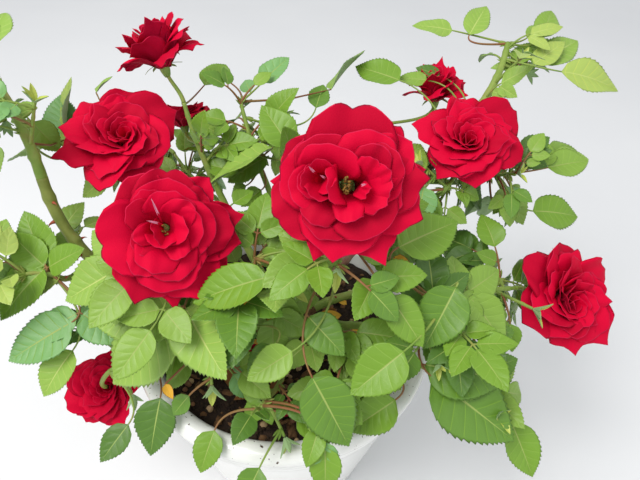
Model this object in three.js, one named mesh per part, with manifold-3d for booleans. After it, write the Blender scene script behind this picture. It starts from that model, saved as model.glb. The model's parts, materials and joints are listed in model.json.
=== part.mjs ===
// Patio rose bush in its white pot, in millimetres, +Z up.
// The origin is the centre of the pot's flat underside. -Y is the side that the blooms face.
// The plant grows by one seeded rule: a short woody crown, tapering canes, leafy masses that
// each keep to their own space, and the blooms on stalks of their own.
import * as THREE from "three";
import { mergeVertices } from "three/addons/utils/BufferGeometryUtils.js";
import Module from "manifold-3d";

const wasm = await Module();
wasm.setup();

// Pot and soil
const RIM_RADIUS = 105;
const RIM_TOP = 165;
const RIM_ROLL = 7;
const BAND_RADIUS = 100.5;
const BAND_TOP = 151;
const BAND_FOOT = 138;
const WALL_TOP_RADIUS = 97;
const FOOT_RADIUS = 71;
const INNER_RADIUS = 91;
const INNER_FOOT_RADIUS = 64;
const POT_FLOOR = 7;
const FOOT_CHAMFER = 3;
const BAND_SLOPE = 4;
const BAND_DRAFT = 1;
const ROLL_START = -0.25 * Math.PI;
const ROLL_SWEEP = 1.25 * Math.PI;
const ROLL_STEPS = 5;
const POT_SIDES = 36;
const SOIL_TOP = 151;
const GAP = 0.3;

// Crown stem: its flared foot, neck, leaning top, and the stubs that the canes stand on
const CROWN_FLARE = 14;
const CROWN_WAIST = 9.5;
const CROWN_NECK = 7.5;
const FLARE_HEIGHT = 6;
const CROWN_LEAN = new THREE.Vector3(0.3, -0.5, 0);
const CROWN_TOP = new THREE.Vector3(2, -3, 170);
const CROWN_OVERLAP = 1.5;
const CROWN_SIDES = 8;
const STUB_REACH = 20;
const STUB_CORE = 3;
const STUB_FOOT_EXTRA = 1;
const STUB_TIP_EXTRA = 0.4;

// Leaves: leaflets on a rachis in pairs with one at the end
const WIDEST = 0.45;
const LEAFLET_RATIO = 0.62;
const LEAFLET_THICKNESS = 0.035;
const RACHIS_RADIUS = 1.0;
const RACHIS_HALF_WIDTH = 0.8;
const RACHIS_HALF_HEIGHT = 0.6;
const ROOT_HALF_WIDTH = 1.0;
const PAIRS = { 5: [0.46, 0.84], 3: [0.7], 1: [] };
const PAIR_SIZES = { 5: [0.7, 0.86], 3: [0.84] };
const PAIR_ANGLE = 1.05;
const RACHIS_BEND = 0.45;

// Limbs: facets round and along
const CANE_SIDES = 5;
const CANE_STEPS = 6;
const STUB_STEPS = 2;
const STEM_SIDES = 4;
const STEM_STEPS = 2;
const STEM_BEND = 0.5;
const STEM_TAPER = 0.6;
const STALK_STEPS = 4;
const STALK_BEND = 0.35;
const STALK_RADIUS = 1.5;
const STALK_FREE = 0.03;

// Growth: seeds, the sky, and where the leaves' faces look
const SEED = 20611;
const SEED_STEP = 977;
const SEED_FACTOR = 16807;
const SEED_PRIME = 2147483647;
const GOLDEN = 2.39996;
const SKY = new THREE.Vector3(0, 0, 1);
const FACING = new THREE.Vector3(0, -0.45, 0.89);

// Twigs: where they leave the stem, how far they pull to the middle of their space, their size
const LEAVES_PER_TWIG = 2.6;
const TWIG_FIRST = 0.2;
const TWIG_SPREAD = 0.7;
const TWIG_SWING = 2;
const TWIG_PULL = 0.6;
const TWIG_LENGTH = 30;
const TWIG_SHORTEST = 0.7;
const TWIG_VARIATION = 0.5;
const TWIG_RADIUS = 1.3;
const TWIG_TAPER = 0.8;
const TWIG_SIDES = 3;

// Leaves on stem and twigs: tries, first place, lean forward and outward, droop, sizes
const TRIES = 400;
const LEAF_FIRST = 0.25;
const LEAF_FORWARD = 0.4;
const LEAF_OUTWARD = 0.45;
const LEAF_REACH = 62;
const SHRINK = 0.35;
const RACHIS_SHORTEST = 0.6;
const RACHIS_VARIATION = 0.4;
const DROOP_LEAST = 0.15;
const DROOP_VARIATION = 0.35;
const LEAFLET_SHORTEST = 0.85;
const LEAFLET_VARIATION = 0.3;
const FIVES_SHARE = 0.7;
const FOOT_STEPS = 10;
const FIRST_FOOT = 2;

// Clearances: a leaf keeps them to limbs, blooms, the pot and the other leaves
const LIMB_CLEAR = 0.9;
const LEAF_CLEAR = 1.5;
const EDGE_CLEAR = 2.6;
const BLOOM_CLEAR = 3;
const BLOOM_DEPTH = 0.6;
const BLOOM_UNDER = 0.25;
const BLOOM_AIR = 80;
const AIR_WIDTH = 0.92;
const POT_CLEAR = 2.5;
const LEAF_SPACING = 12;
const SAMPLE_STEP = 2.8;

// Blooms: rings of one lobed skin, as height and reach in bloom radii, lobe depth, turn
const PETAL_RINGS = [
  { height: -0.42, reach: 0.12, lobe: 0, turn: 0 },
  { height: -0.12, reach: 1, lobe: 0.24, turn: 0 },
  { height: 0.02, reach: 0.64, lobe: 0.1, turn: 0 },
  { height: 0.2, reach: 0.8, lobe: 0.2, turn: 1 },
  { height: 0.18, reach: 0.42, lobe: 0.1, turn: 1 },
  { height: 0.4, reach: 0.46, lobe: 0.2, turn: 2 },
];
const PETALS = 5;
const PETAL_POINTS = 3;
const EYE_HEIGHT = 0.26;
const CLOSED_REACH = 0.45;
const CLOSED_LIFT = 0.7;
const HIP_DEPTH = 0.4;

// Canes: name, what each springs from and how far along it, through, tip, radii
const CANES = [
  ["cane_front", "crown", 0, [15, -14, 203], [30, -20, 238], 3.2, 2.2],
  ["cane_left_front", "crown", 0, [-34, -17, 202], [-52, -22, 230], 3.2, 2.2],
  ["cane_thorny_left", "crown", 0, [-110, -2, 200], [-148, 17, 268], 4.4, 3.4],
  ["cane_left_back", "crown", 0, [-28, 32, 200], [-52, 56, 240], 3.2, 2.3],
  ["cane_back", "crown", 0, [-2, 38, 202], [-18, 60, 246], 3.0, 2.0],
  ["cane_top_right", "crown", 0, [72, 62, 212], [132, 108, 270], 4.2, 3.4],
  ["cane_right", "crown", 0, [64, 8, 188], [122, -6, 208], 3.2, 2.2],
  ["cane_right_front", "crown", 0, [42, -24, 188], [78, -42, 214], 3.0, 2.1],
  ["cane_middle", "crown", 0, [-7, -12, 203], [-12, -18, 218], 2.8, 2.0],
  ["cane_heart_left", "crown", 0, [-18, -22, 181], [-34, -36, 192], 2.6, 1.9],
  ["cane_heart_right", "crown", 0, [18, -26, 182], [26, -38, 196], 2.6, 1.9],
  ["cane_left", "cane_left_back", 0.6, [-68, 40, 230], [-92, 44, 258], 2.3, 1.8],
  ["cane_left_side", "cane_thorny_left", 0.66, [-132, -14, 216], [-138, -20, 220], 2.2, 1.8],
  ["cane_left_low", "cane_left_front", 0.25, [-50, -34, 184], [-82, -46, 182], 2.4, 1.8],
  ["cane_front_low", "cane_front", 0.2, [8, -36, 184], [4, -60, 184], 2.2, 1.7],
  ["cane_right_back", "cane_top_right", 0.5, [90, 52, 228], [104, 44, 248], 2.6, 2.0],
  ["cane_far_right", "cane_top_right", 0.7, [124, 78, 234], [138, 76, 238], 2.4, 1.9],
  ["cane_right_low", "cane_right_front", 0.4, [80, -44, 182], [108, -56, 180], 2.2, 1.7],
  ["cane_back_left", "cane_back", 0.3, [-40, 70, 196], [-70, 94, 206], 2.4, 1.8],
  ["cane_back_right", "cane_top_right", 0.3, [52, 80, 200], [54, 108, 208], 2.4, 1.8],
];

// Masses of foliage: name, cane, centre of its space, tip of its stem, leaves wanted,
// length of the leaflet at a leaf's end
const MASSES = [
  ["foliage_front", "cane_front", [44, -46, 262], [38, -24, 286], 6, 34],
  ["foliage_middle", "cane_middle", [-14, -42, 236], [-12, -32, 254], 6, 32],
  ["foliage_heart_left", "cane_heart_left", [-44, -50, 204], [-42, -50, 206], 5, 33],
  ["foliage_heart_right", "cane_heart_right", [30, -56, 210], [30, -54, 212], 5, 33],
  ["foliage_left_front", "cane_left_front", [-70, -38, 236], [-61, -28, 258], 5, 36],
  ["foliage_left_low", "cane_left_side", [-152, -26, 223], [-155, -26, 228], 6, 34],
  ["foliage_left_top", "cane_thorny_left", [-168, 48, 302], [-182, 58, 320], 5, 32],
  ["foliage_left", "cane_left", [-110, 36, 258], [-104, 46, 266], 3, 30],
  ["foliage_left_back", "cane_left_back", [-72, 86, 270], [-72, 80, 290], 4, 28],
  ["foliage_back", "cane_back", [-16, 70, 274], [-34, 84, 290], 6, 29],
  ["foliage_right_back", "cane_right_back", [98, 56, 252], [117, 64, 254], 4, 30],
  ["foliage_top_right", "cane_top_right", [164, 140, 306], [161, 154, 310], 6, 34],
  ["foliage_far_right", "cane_far_right", [158, 84, 240], [162, 80, 242], 5, 32],
  ["foliage_right", "cane_right", [154, 6, 214], [154, -4, 208], 5, 34],
  ["foliage_right_front", "cane_right_front", [96, -52, 230], [92, -50, 240], 7, 34],
  ["foliage_front_low", "cane_front_low", [-4, -92, 184], [-8, -84, 184], 5, 30],
  ["foliage_right_low", "cane_right_low", [130, -66, 176], [132, -66, 178], 4, 30],
  ["foliage_left_bottom", "cane_left_low", [-102, -64, 166], [-106, -56, 174], 4, 30],
  ["foliage_back_left", "cane_back_left", [-90, 118, 214], [-98, 116, 226], 5, 32],
  ["foliage_back_right", "cane_back_right", [52, 132, 214], [52, 136, 230], 5, 32],
];

// Leaves that stand out: mass, foot of the end leaflet, its tip, leaflets
const LEADING_LEAVES = [
  ["foliage_right_front", [87, -77, 213], [133, -102, 192], 3],
  ["foliage_front", [22, -85, 220], [44, -110, 192], 5],
  ["foliage_left_front", [-56, -54, 227], [-100, -76, 188], 3],
  ["foliage_left_low", [-125, -43, 210], [-168, -63, 187], 5],
  ["foliage_left_low", [-144, -19, 228], [-185, -34, 212], 5],
  ["foliage_left_low", [-152, 5, 235], [-183, -2, 228], 5],
  ["foliage_left_top", [-126, 18, 292], [-132, 48, 323], 3],
  ["foliage_left_top", [-190, 78, 322], [-194, 114, 340], 3],
  ["foliage_middle", [-2, -58, 267], [-42, -64, 253], 3],
  ["foliage_heart_right", [71, -72, 228], [43, -87, 209], 3],
  ["foliage_heart_left", [-17, -63, 229], [-40, -76, 209], 3],
  ["foliage_heart_left", [1, -68, 224], [-13, -83, 209], 1],
  ["foliage_heart_right", [70, -79, 191], [42, -92, 174], 3],
  ["foliage_left_front", [-55, -44, 231], [-85, -50, 217], 3],
  ["foliage_right_front", [96, -51, 257], [80, -74, 231], 1],
  ["foliage_front", [60, -60, 258], [79, -79, 241], 3],
  ["foliage_right_front", [110, -39, 237], [133, -59, 217], 5],
  ["foliage_right_front", [65, -38, 272], [100, -19, 278], 3],
  ["foliage_right", [172, 45, 232], [212, 47, 234], 5],
  ["foliage_far_right", [193, 88, 243], [226, 94, 249], 5],
  ["foliage_top_right", [119, 161, 316], [88, 159, 322], 3],
  ["foliage_top_right", [196, 127, 301], [245, 122, 296], 5],
  ["foliage_top_right", [188, 146, 315], [193, 166, 337], 3],
  ["foliage_back", [2, 45, 280], [-17, 63, 300], 3],
  ["foliage_back", [-21, 102, 296], [-3, 116, 311], 5],
  ["foliage_left_bottom", [-71, -73, 176], [-77, -100, 146], 3],
  ["foliage_left_bottom", [-89, -86, 140], [-115, -88, 137], 3],
  ["foliage_front_low", [-28, -87, 161], [-44, -105, 141], 5],
  ["foliage_front_low", [30, -109, 193], [31, -126, 174], 3],
  ["foliage_right_low", [141, -80, 169], [160, -104, 142], 3],
  ["foliage_right_low", [129, -55, 170], [153, -40, 180], 3],
];

// Blooms: name, mass and how far along its stem, centre, facing, across, openness
const BLOOMS = [
  ["bloom_front", "foliage_front", 1, [35, -44, 315], [-0.05, -0.81, 0.58], 72, 1],
  ["bloom_left_front", "foliage_left_front", 1, [-56, -40, 280], [0.3, -0.72, 0.63], 72, 1],
  ["bloom_left", "foliage_left", 1, [-107, 45, 285], [0.15, -0.45, 0.88], 74, 1],
  ["bloom_left_back", "foliage_left_back", 1, [-87, 94, 316], [-0.3, 0.3, 0.9], 50, 0.7],
  ["bloom_left_behind", "foliage_left_back", 0.5, [-82, 103, 267], [-0.2, 0.5, 0.84], 42, 0.8],
  ["bloom_right_behind", "foliage_back_right", 1, [112, 148, 272], [-0.1, 0.15, 0.98], 46, 0.6],
  ["bloom_right_back", "foliage_right_back", 1, [122, 63, 282], [-0.05, -0.45, 0.89], 72, 1],
  ["bloom_right", "foliage_right", 1, [189, -7, 204], [0.3, -0.63, 0.71], 66, 0.9],
  ["bloom_left_bottom", "foliage_left_bottom", 1, [-125, -44, 134], [0.05, -0.55, 0.83], 54, 0.9],
  ["bloom_back", "foliage_back_right", 0.5, [30, 150, 222], [-0.1, 0.7, 0.7], 60, 0.9],
  ["bloom_back_left", "foliage_back_left", 1, [-132, 132, 238], [-0.4, 0.45, 0.8], 56, 0.9],
];

// Finishes
function finish(colour, roughness) {
  return new THREE.MeshStandardMaterial({ color: colour, roughness, metalness: 0 });
}
const POT_WHITE = finish(0xf1f1ee, 0.22);
const SOIL_BROWN = finish(0x2c1d15, 0.95);
const OLD_WOOD = finish(0x6b5138, 0.85);
const CANE_GREEN = finish(0x7d8a3c, 0.55);
const LEAF_GREEN = finish(0x4f8433, 0.5);
const PETAL_RED = finish(0xb00a22, 0.6);

const bush = new THREE.Group();

// Vector helpers
function at(numbers) {
  return new THREE.Vector3(...numbers);
}

function along(origin, direction, distance) {
  return origin.clone().addScaledVector(direction, distance);
}

function towards(from, to) {
  return to.clone().sub(from).normalize();
}

function squareTo(vector, axis) {
  return vector.clone().addScaledVector(axis, -vector.dot(axis)).normalize();
}

function anySide(axis) {
  const helper = Math.abs(axis.z) < 0.9 ? SKY : new THREE.Vector3(1, 0, 0);
  return squareTo(helper, axis);
}

function around(axis, angle) {
  const side = anySide(axis);
  const other = axis.clone().cross(side);
  return side.multiplyScalar(Math.cos(angle)).addScaledVector(other, Math.sin(angle));
}

// Numbers between 0 and 1 that are the same every time for one seed
function seeded(seed) {
  let state = seed;
  return () => {
    state = (state * SEED_FACTOR) % SEED_PRIME;
    return state / SEED_PRIME;
  };
}

// A curve from one point to another that passes a third half way
function arc(start, through, end) {
  const middle = start.clone().add(end).multiplyScalar(0.5);
  const control = through.clone().multiplyScalar(2).sub(middle);
  return new THREE.QuadraticBezierCurve3(start.clone(), control, end.clone());
}

// Solids
function mesh(positions, faces) {
  const geometry = new THREE.BufferGeometry();
  geometry.setAttribute("position", new THREE.Float32BufferAttribute(positions, 3));
  geometry.setIndex(faces);
  return geometry;
}

function solid(geometry) {
  const bare = geometry.clone();
  bare.deleteAttribute("normal");
  bare.deleteAttribute("uv");
  const merged = mergeVertices(bare, 1e-4);
  const vertProperties = new Float32Array(merged.attributes.position.array);
  const triVerts = new Uint32Array(merged.index.array);
  return new wasm.Manifold(new wasm.Mesh({ numProp: 3, vertProperties, triVerts }));
}

// The largest closed skin of a body: scraps are dropped and hollows filled
function largest(body) {
  return body.decompose().sort((one, other) => other.volume() - one.volume())[0];
}

function join(shapes) {
  return largest(wasm.Manifold.union(shapes.map(solid)));
}

function geometryOf(body) {
  const { vertProperties, triVerts } = body.getMesh();
  return mesh(Array.from(vertProperties), Array.from(triVerts));
}

function add(name, geometry, material) {
  const piece = new THREE.Mesh(geometry, material);
  piece.name = name;
  bush.add(piece);
}

// A tapering limb of flat facets with square ends
function limb(curve, startRadius, endRadius, sides, steps) {
  const positions = [];
  const faces = [];
  let side = anySide(curve.getTangent(0));
  for (let step = 0; step <= steps; step++) {
    const t = step / steps;
    const axis = curve.getTangent(t);
    side = squareTo(side, axis);
    const other = axis.clone().cross(side);
    const radius = THREE.MathUtils.lerp(startRadius, endRadius, t);
    for (let corner = 0; corner < sides; corner++) {
      const angle = (2 * Math.PI * corner) / sides;
      const point = along(curve.getPoint(t), side, radius * Math.cos(angle));
      point.addScaledVector(other, radius * Math.sin(angle));
      positions.push(point.x, point.y, point.z);
    }
  }
  for (let step = 0; step < steps; step++) {
    for (let corner = 0; corner < sides; corner++) {
      const next = (corner + 1) % sides;
      const low = step * sides;
      const high = low + sides;
      faces.push(low + corner, low + next, high + next);
      faces.push(low + corner, high + next, high + corner);
    }
  }
  const last = steps * sides;
  for (let corner = 1; corner < sides - 1; corner++) {
    faces.push(0, corner + 1, corner);
    faces.push(last, last + corner, last + corner + 1);
  }
  return mesh(positions, faces);
}

// A four-sided ring of a rachis: its top face leads, then right, underside and left
function rachisRing(rachis, share, face) {
  const axis = rachis.getTangent(share);
  const up = squareTo(face, axis);
  const left = up.clone().cross(axis);
  const centre = rachis.getPoint(share);
  return [[1, 1], [-1, 1], [-1, -1], [1, -1]].map(([across, above]) => (
    along(along(centre, left, across * RACHIS_HALF_WIDTH), up, above * RACHIS_HALF_HEIGHT)));
}

// One leaf as a closed skin: each leaflet grows out of a square opening in the rachis
function leafBody({ rachis, nodes, end }) {
  const points = [];
  const faces = [];
  const put = (places) => places.map((place) => points.push(place) - 1);
  const quad = (one, two, three, four) => faces.push(one, two, three, one, three, four);
  const sprout = (opening, leaflet) => {
    const { base, tip, axis, face, left, width, length } = leaflet;
    const middle = along(base, axis, WIDEST * length);
    const rise = 0.5 * LEAFLET_THICKNESS * length;
    const corners = opening.map((index) => points[index]);
    const heart = corners[0].clone().add(corners[2]).multiplyScalar(0.5);
    const belt = put(corners.map((corner, index) => {
      const outward = corner.clone().add(corners[(index + 1) % 4]).multiplyScalar(0.5).sub(heart);
      const aside = outward.dot(left);
      const above = outward.dot(face);
      return Math.abs(aside) > Math.abs(above)
        ? along(middle, left, 0.5 * width * Math.sign(aside))
        : along(middle, face, rise * Math.sign(above));
    }));
    const [point] = put([tip]);
    for (let corner = 0; corner < 4; corner++) {
      const next = (corner + 1) % 4;
      faces.push(opening[corner], opening[next], belt[corner]);
      faces.push(opening[next], belt[next], belt[corner], belt[corner], belt[next], point);
    }
  };
  const tube = (low, high, leftOne, rightOne) => {
    quad(low[0], low[1], high[1], high[0]);
    quad(low[2], low[3], high[3], high[2]);
    const rightSide = [low[1], low[2], high[2], high[1]];
    const leftSide = [low[3], low[0], high[0], high[3]];
    for (const [side, leaflet] of [[leftSide, leftOne], [rightSide, rightOne]]) {
      if (leaflet) {
        sprout(side, leaflet);
      } else {
        quad(...side);
      }
    }
  };
  const rootShare = ROOT_HALF_WIDTH / rachis.v0.distanceTo(rachis.v2);
  let low = put(rachisRing(rachis, 0, end.face));
  quad(low[0], low[3], low[2], low[1]);
  for (const { share, left, right } of nodes) {
    const before = put(rachisRing(rachis, share - rootShare, end.face));
    tube(low, before, null, null);
    low = put(rachisRing(rachis, share + rootShare, end.face));
    tube(before, low, left, right);
  }
  const last = put(rachisRing(rachis, 1, end.face));
  tube(low, last, null, null);
  sprout(last, end);
  return mesh(points.flatMap((point) => point.toArray()), faces);
}

// Pot: flat underside, tapering wall, flat band and a rolled rim
function potGeometry() {
  const profile = [
    new THREE.Vector2(0, 0),
    new THREE.Vector2(FOOT_RADIUS - FOOT_CHAMFER, 0),
    new THREE.Vector2(FOOT_RADIUS, FOOT_CHAMFER),
    new THREE.Vector2(WALL_TOP_RADIUS, BAND_FOOT - BAND_SLOPE),
    new THREE.Vector2(BAND_RADIUS - BAND_DRAFT, BAND_FOOT),
    new THREE.Vector2(BAND_RADIUS, BAND_TOP),
  ];
  const rollCentre = new THREE.Vector2(RIM_RADIUS - RIM_ROLL, RIM_TOP - RIM_ROLL);
  for (let step = 0; step <= ROLL_STEPS; step++) {
    const angle = ROLL_START + (step / ROLL_STEPS) * ROLL_SWEEP;
    const roll = new THREE.Vector2(Math.cos(angle), Math.sin(angle)).multiplyScalar(RIM_ROLL);
    profile.push(roll.add(rollCentre));
  }
  profile.push(new THREE.Vector2(INNER_FOOT_RADIUS, POT_FLOOR));
  profile.push(new THREE.Vector2(0, POT_FLOOR));
  return new THREE.LatheGeometry(profile, POT_SIDES).rotateX(Math.PI / 2);
}

// Soil: fills the pot to below its rim
function soilGeometry() {
  const foot = POT_FLOOR + GAP;
  const share = (SOIL_TOP - GAP - POT_FLOOR) / (RIM_TOP - RIM_ROLL - POT_FLOOR);
  const topRadius = THREE.MathUtils.lerp(INNER_FOOT_RADIUS, INNER_RADIUS, share) - 2 * GAP;
  const profile = [
    new THREE.Vector2(0, foot),
    new THREE.Vector2(INNER_FOOT_RADIUS - 2 * GAP, foot),
    new THREE.Vector2(topRadius, SOIL_TOP - GAP),
    new THREE.Vector2(0, SOIL_TOP - GAP),
  ];
  return new THREE.LatheGeometry(profile, POT_SIDES).rotateX(Math.PI / 2);
}

// Canes: the first ones stand on the crown's stubs, the others leave a cane's side
function planCanes() {
  const canes = {};
  for (const [name, parent, share, through, tip, footRadius, tipRadius] of CANES) {
    const middle = at(through);
    const start = parent === "crown"
      ? along(CROWN_TOP, towards(CROWN_TOP, middle), STUB_REACH)
      : canes[parent].curve.getPoint(share);
    canes[name] = { parent, curve: arc(start, middle, at(tip)), footRadius, tipRadius };
  }
  return canes;
}

function caneLimb({ curve, footRadius, tipRadius }, extra) {
  return limb(curve, footRadius + extra, tipRadius + extra, CANE_SIDES, CANE_STEPS);
}

function caneBody(cane, canes) {
  const shape = caneLimb(cane, 0);
  if (cane.parent === "crown") {
    return shape;
  }
  const room = caneLimb(canes[cane.parent], GAP);
  return geometryOf(largest(solid(shape).subtract(solid(room))));
}

function crownBody(canes) {
  const foot = new THREE.Vector3(0, 0, SOIL_TOP);
  const waist = along(foot, SKY, FLARE_HEIGHT).add(CROWN_LEAN);
  const knee = along(foot, SKY, FLARE_HEIGHT / 2);
  const flare = new THREE.QuadraticBezierCurve3(foot, knee, waist);
  const neck = new THREE.QuadraticBezierCurve3(knee, waist, CROWN_TOP.clone());
  const shapes = [
    limb(flare, CROWN_FLARE, CROWN_WAIST, CROWN_SIDES, 1),
    limb(neck, CROWN_WAIST + CROWN_OVERLAP, CROWN_NECK, CROWN_SIDES, 2),
  ];
  for (const cane of Object.values(canes)) {
    if (cane.parent === "crown") {
      const axis = cane.curve.getTangent(0);
      const end = along(cane.curve.v0, axis, -GAP);
      const bend = along(cane.curve.v0, axis, -STUB_REACH / 2);
      const core = along(CROWN_TOP, SKY, -STUB_CORE);
      const stub = new THREE.QuadraticBezierCurve3(core, bend, end);
      const thick = cane.footRadius + STUB_FOOT_EXTRA;
      shapes.push(limb(stub, thick, cane.footRadius + STUB_TIP_EXTRA, CANE_SIDES, STUB_STEPS));
    }
  }
  return geometryOf(join(shapes));
}

// Points along a curve, close enough that nothing slips between them
function pointsAlong(curve, from) {
  const count = Math.ceil(curve.getPoint(0).distanceTo(curve.getPoint(1)) / SAMPLE_STEP) + 2;
  const points = [];
  for (let step = 0; step <= count; step++) {
    points.push(curve.getPoint(from + ((1 - from) * step) / count));
  }
  return points;
}

function planMasses(canes) {
  const masses = {};
  for (const [name, cane, centre, tip, wanted, size] of MASSES) {
    const bearer = canes[cane];
    const axis = bearer.curve.getTangent(1);
    const start = along(bearer.curve.v2, axis, GAP);
    const bend = along(start, axis, STEM_BEND * start.distanceTo(at(tip)));
    const stem = new THREE.QuadraticBezierCurve3(start, bend, at(tip));
    const radius = bearer.tipRadius;
    masses[name] = { name, centre: at(centre), stem, wanted, size, radius, twigs: [], leaves: [] };
  }
  return masses;
}

function planBlooms(masses) {
  const blooms = {};
  for (const [name, mass, share, centre, facing, across, openness] of BLOOMS) {
    const { stem } = masses[mass];
    const middle = at(centre);
    const axis = at(facing).normalize();
    const radius = across / 2;
    const base = along(middle, axis, -HIP_DEPTH * radius);
    const stemAxis = stem.getTangent(share);
    const start = along(stem.getPoint(share), stemAxis, share === 1 ? GAP : 0);
    const reach = STALK_BEND * base.distanceTo(start);
    const first = share === 1 ? along(start, stemAxis, reach) : start.clone().lerp(base, STALK_BEND);
    const stalk = new THREE.CubicBezierCurve3(start, first, along(base, axis, -reach), base);
    blooms[name] = { middle, axis, radius, base, stalk, openness, mass, share };
  }
  return blooms;
}

// Room: clear of the pot, the blooms and the air before the blooms
function clearOfPot(point) {
  const reach = Math.hypot(point.x, point.y);
  if (reach > RIM_RADIUS + POT_CLEAR) {
    return true;
  }
  const floor = reach > INNER_RADIUS - 2 * POT_CLEAR ? RIM_TOP : SOIL_TOP;
  return point.z > floor + POT_CLEAR;
}

function clearOfBlooms(blooms, point, airy) {
  for (const bloom of Object.values(blooms)) {
    const offset = point.clone().sub(bloom.middle);
    const height = offset.dot(bloom.axis);
    const spread = Math.sqrt(Math.max(0, offset.lengthSq() - height * height));
    const wide = spread / (bloom.radius + BLOOM_CLEAR);
    const depth = height > 0 ? BLOOM_DEPTH : BLOOM_UNDER;
    const deep = height / (depth * bloom.radius + BLOOM_CLEAR);
    if (wide * wide + deep * deep < 1) {
      return false;
    }
    const forward = offset.dot(FACING);
    const aside = Math.sqrt(Math.max(0, offset.lengthSq() - forward * forward));
    if (airy && forward > 0 && forward < BLOOM_AIR && aside < AIR_WIDTH * bloom.radius) {
      return false;
    }
  }
  return true;
}

function hasRoom(world, point, airy) {
  return clearOfPot(point) && clearOfBlooms(world.blooms, point, airy);
}

function halfWidth(reach) {
  return Math.max(0, reach < WIDEST ? reach / WIDEST : (1 - reach) / (1 - WIDEST));
}

// A leaflet with its frame and the points that stand for its outline and midrib
function makeLeaflet(base, tip, normal, owner) {
  const length = base.distanceTo(tip);
  const axis = towards(base, tip);
  const face = squareTo(normal, axis);
  const left = face.clone().cross(axis);
  const width = LEAFLET_RATIO * length;
  const count = Math.ceil(length / SAMPLE_STEP) + 1;
  const points = [];
  for (let row = 0; row <= count; row++) {
    const spine = base.clone().lerp(tip, row / count);
    for (const share of [-0.5, -0.25, 0, 0.25, 0.5]) {
      points.push(along(spine, left, share * halfWidth(row / count) * width));
    }
  }
  const centre = base.clone().lerp(tip, 0.5);
  return { base, tip, axis, face, left, width, length, centre, points, owner };
}

// Points touch a leaflet where they lie close to it, or over it and under it
function touches(points, leaflet, clear) {
  let above = false;
  let below = false;
  for (const point of points) {
    const offset = point.clone().sub(leaflet.base);
    const reach = offset.dot(leaflet.axis) / leaflet.length;
    const edge = 0.5 * leaflet.width * halfWidth(reach) + EDGE_CLEAR;
    const margin = EDGE_CLEAR / leaflet.length;
    if (reach > -margin && reach < 1 + margin && Math.abs(offset.dot(leaflet.left)) < edge) {
      const height = offset.dot(leaflet.face);
      above = above || height > -clear;
      below = below || height < clear;
    }
  }
  return above && below;
}

function leafletFits(world, leaflet, airy) {
  for (const other of world.leaflets) {
    const apart = other.centre.distanceTo(leaflet.centre);
    const near = apart < (leaflet.length + other.length) / 2 + EDGE_CLEAR;
    if (apart < LEAF_SPACING || (near && (touches(leaflet.points, other, LEAF_CLEAR)
      || touches(other.points, leaflet, LEAF_CLEAR)))) {
      return false;
    }
  }
  for (const other of world.limbs) {
    if (other.owner !== leaflet.owner && touches(other.points, leaflet, other.radius + LIMB_CLEAR)) {
      return false;
    }
  }
  return leaflet.points.every((point) => hasRoom(world, point, airy));
}

function limbFits(world, curve, radius, owner) {
  const points = pointsAlong(curve, 0);
  for (const other of world.limbs) {
    if (other.owner !== owner) {
      const clear = radius + other.radius + LIMB_CLEAR;
      if (points.some((point) => other.points.some((place) => place.distanceTo(point) < clear))) {
        return false;
      }
    }
  }
  return points.slice(2).every((point) => hasRoom(world, point, false))
    && world.leaflets.every((leaflet) => !touches(points, leaflet, radius + LIMB_CLEAR));
}

// One leaf: a rachis that bends from its foot into its end leaflet, with pairs behind that
function growLeaf(world, mass, foot, base, tip, count, airy) {
  const axis = towards(base, tip);
  const bend = along(base, axis, -RACHIS_BEND * foot.distanceTo(base));
  const rachis = new THREE.QuadraticBezierCurve3(foot, bend, base);
  const length = base.distanceTo(tip);
  const end = makeLeaflet(base, tip, squareTo(FACING, axis), mass.name);
  if (!limbFits(world, rachis, RACHIS_RADIUS, mass.name) || !leafletFits(world, end, airy)) {
    return false;
  }
  const sideLeaflet = (share, size, hand) => {
    const node = rachis.getPoint(share);
    const direction = rachis.getTangent(share).applyAxisAngle(end.face, hand * PAIR_ANGLE);
    const leaflet = makeLeaflet(node, along(node, direction, size * length), end.face, mass.name);
    return leafletFits(world, leaflet, airy) ? leaflet : null;
  };
  const nodes = PAIRS[count].map((share, pair) => ({
    share,
    left: sideLeaflet(share, PAIR_SIZES[count][pair], 1),
    right: sideLeaflet(share, PAIR_SIZES[count][pair], -1),
  }));
  const sides = nodes.flatMap(({ left, right }) => [left, right]).filter((leaflet) => leaflet);
  if (airy && sides.length < count / 2) {
    return false;
  }
  world.leaflets.push(end, ...sides);
  world.limbs.push({ points: pointsAlong(rachis, 0), radius: RACHIS_RADIUS, owner: mass.name });
  mass.leaves.push({ rachis, nodes, end });
  return true;
}

function nearestFoot(mass, point) {
  let best = mass.stem.getPoint(FIRST_FOOT / FOOT_STEPS);
  for (let step = FIRST_FOOT + 1; step <= FOOT_STEPS; step++) {
    const candidate = mass.stem.getPoint(step / FOOT_STEPS);
    if (candidate.distanceTo(point) < best.distanceTo(point)) {
      best = candidate;
    }
  }
  return best;
}

function growTwigs(world, mass, random) {
  const count = Math.round(mass.wanted / LEAVES_PER_TWIG);
  for (let twig = 0; twig < count; twig++) {
    const share = TWIG_FIRST + (TWIG_SPREAD * (twig + random())) / count;
    const foot = mass.stem.getPoint(share);
    const side = around(mass.stem.getTangent(share), GOLDEN * twig + TWIG_SWING * random());
    const direction = side.addScaledVector(towards(foot, mass.centre), TWIG_PULL).normalize();
    const end = along(foot, direction, TWIG_LENGTH * (TWIG_SHORTEST + TWIG_VARIATION * random()));
    const curve = arc(foot, foot.clone().lerp(end, 0.5), end);
    if (limbFits(world, curve, TWIG_RADIUS, mass.name)) {
      mass.twigs.push(curve);
      world.limbs.push({ points: pointsAlong(curve, 0), radius: TWIG_RADIUS, owner: mass.name });
    }
  }
}

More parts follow.
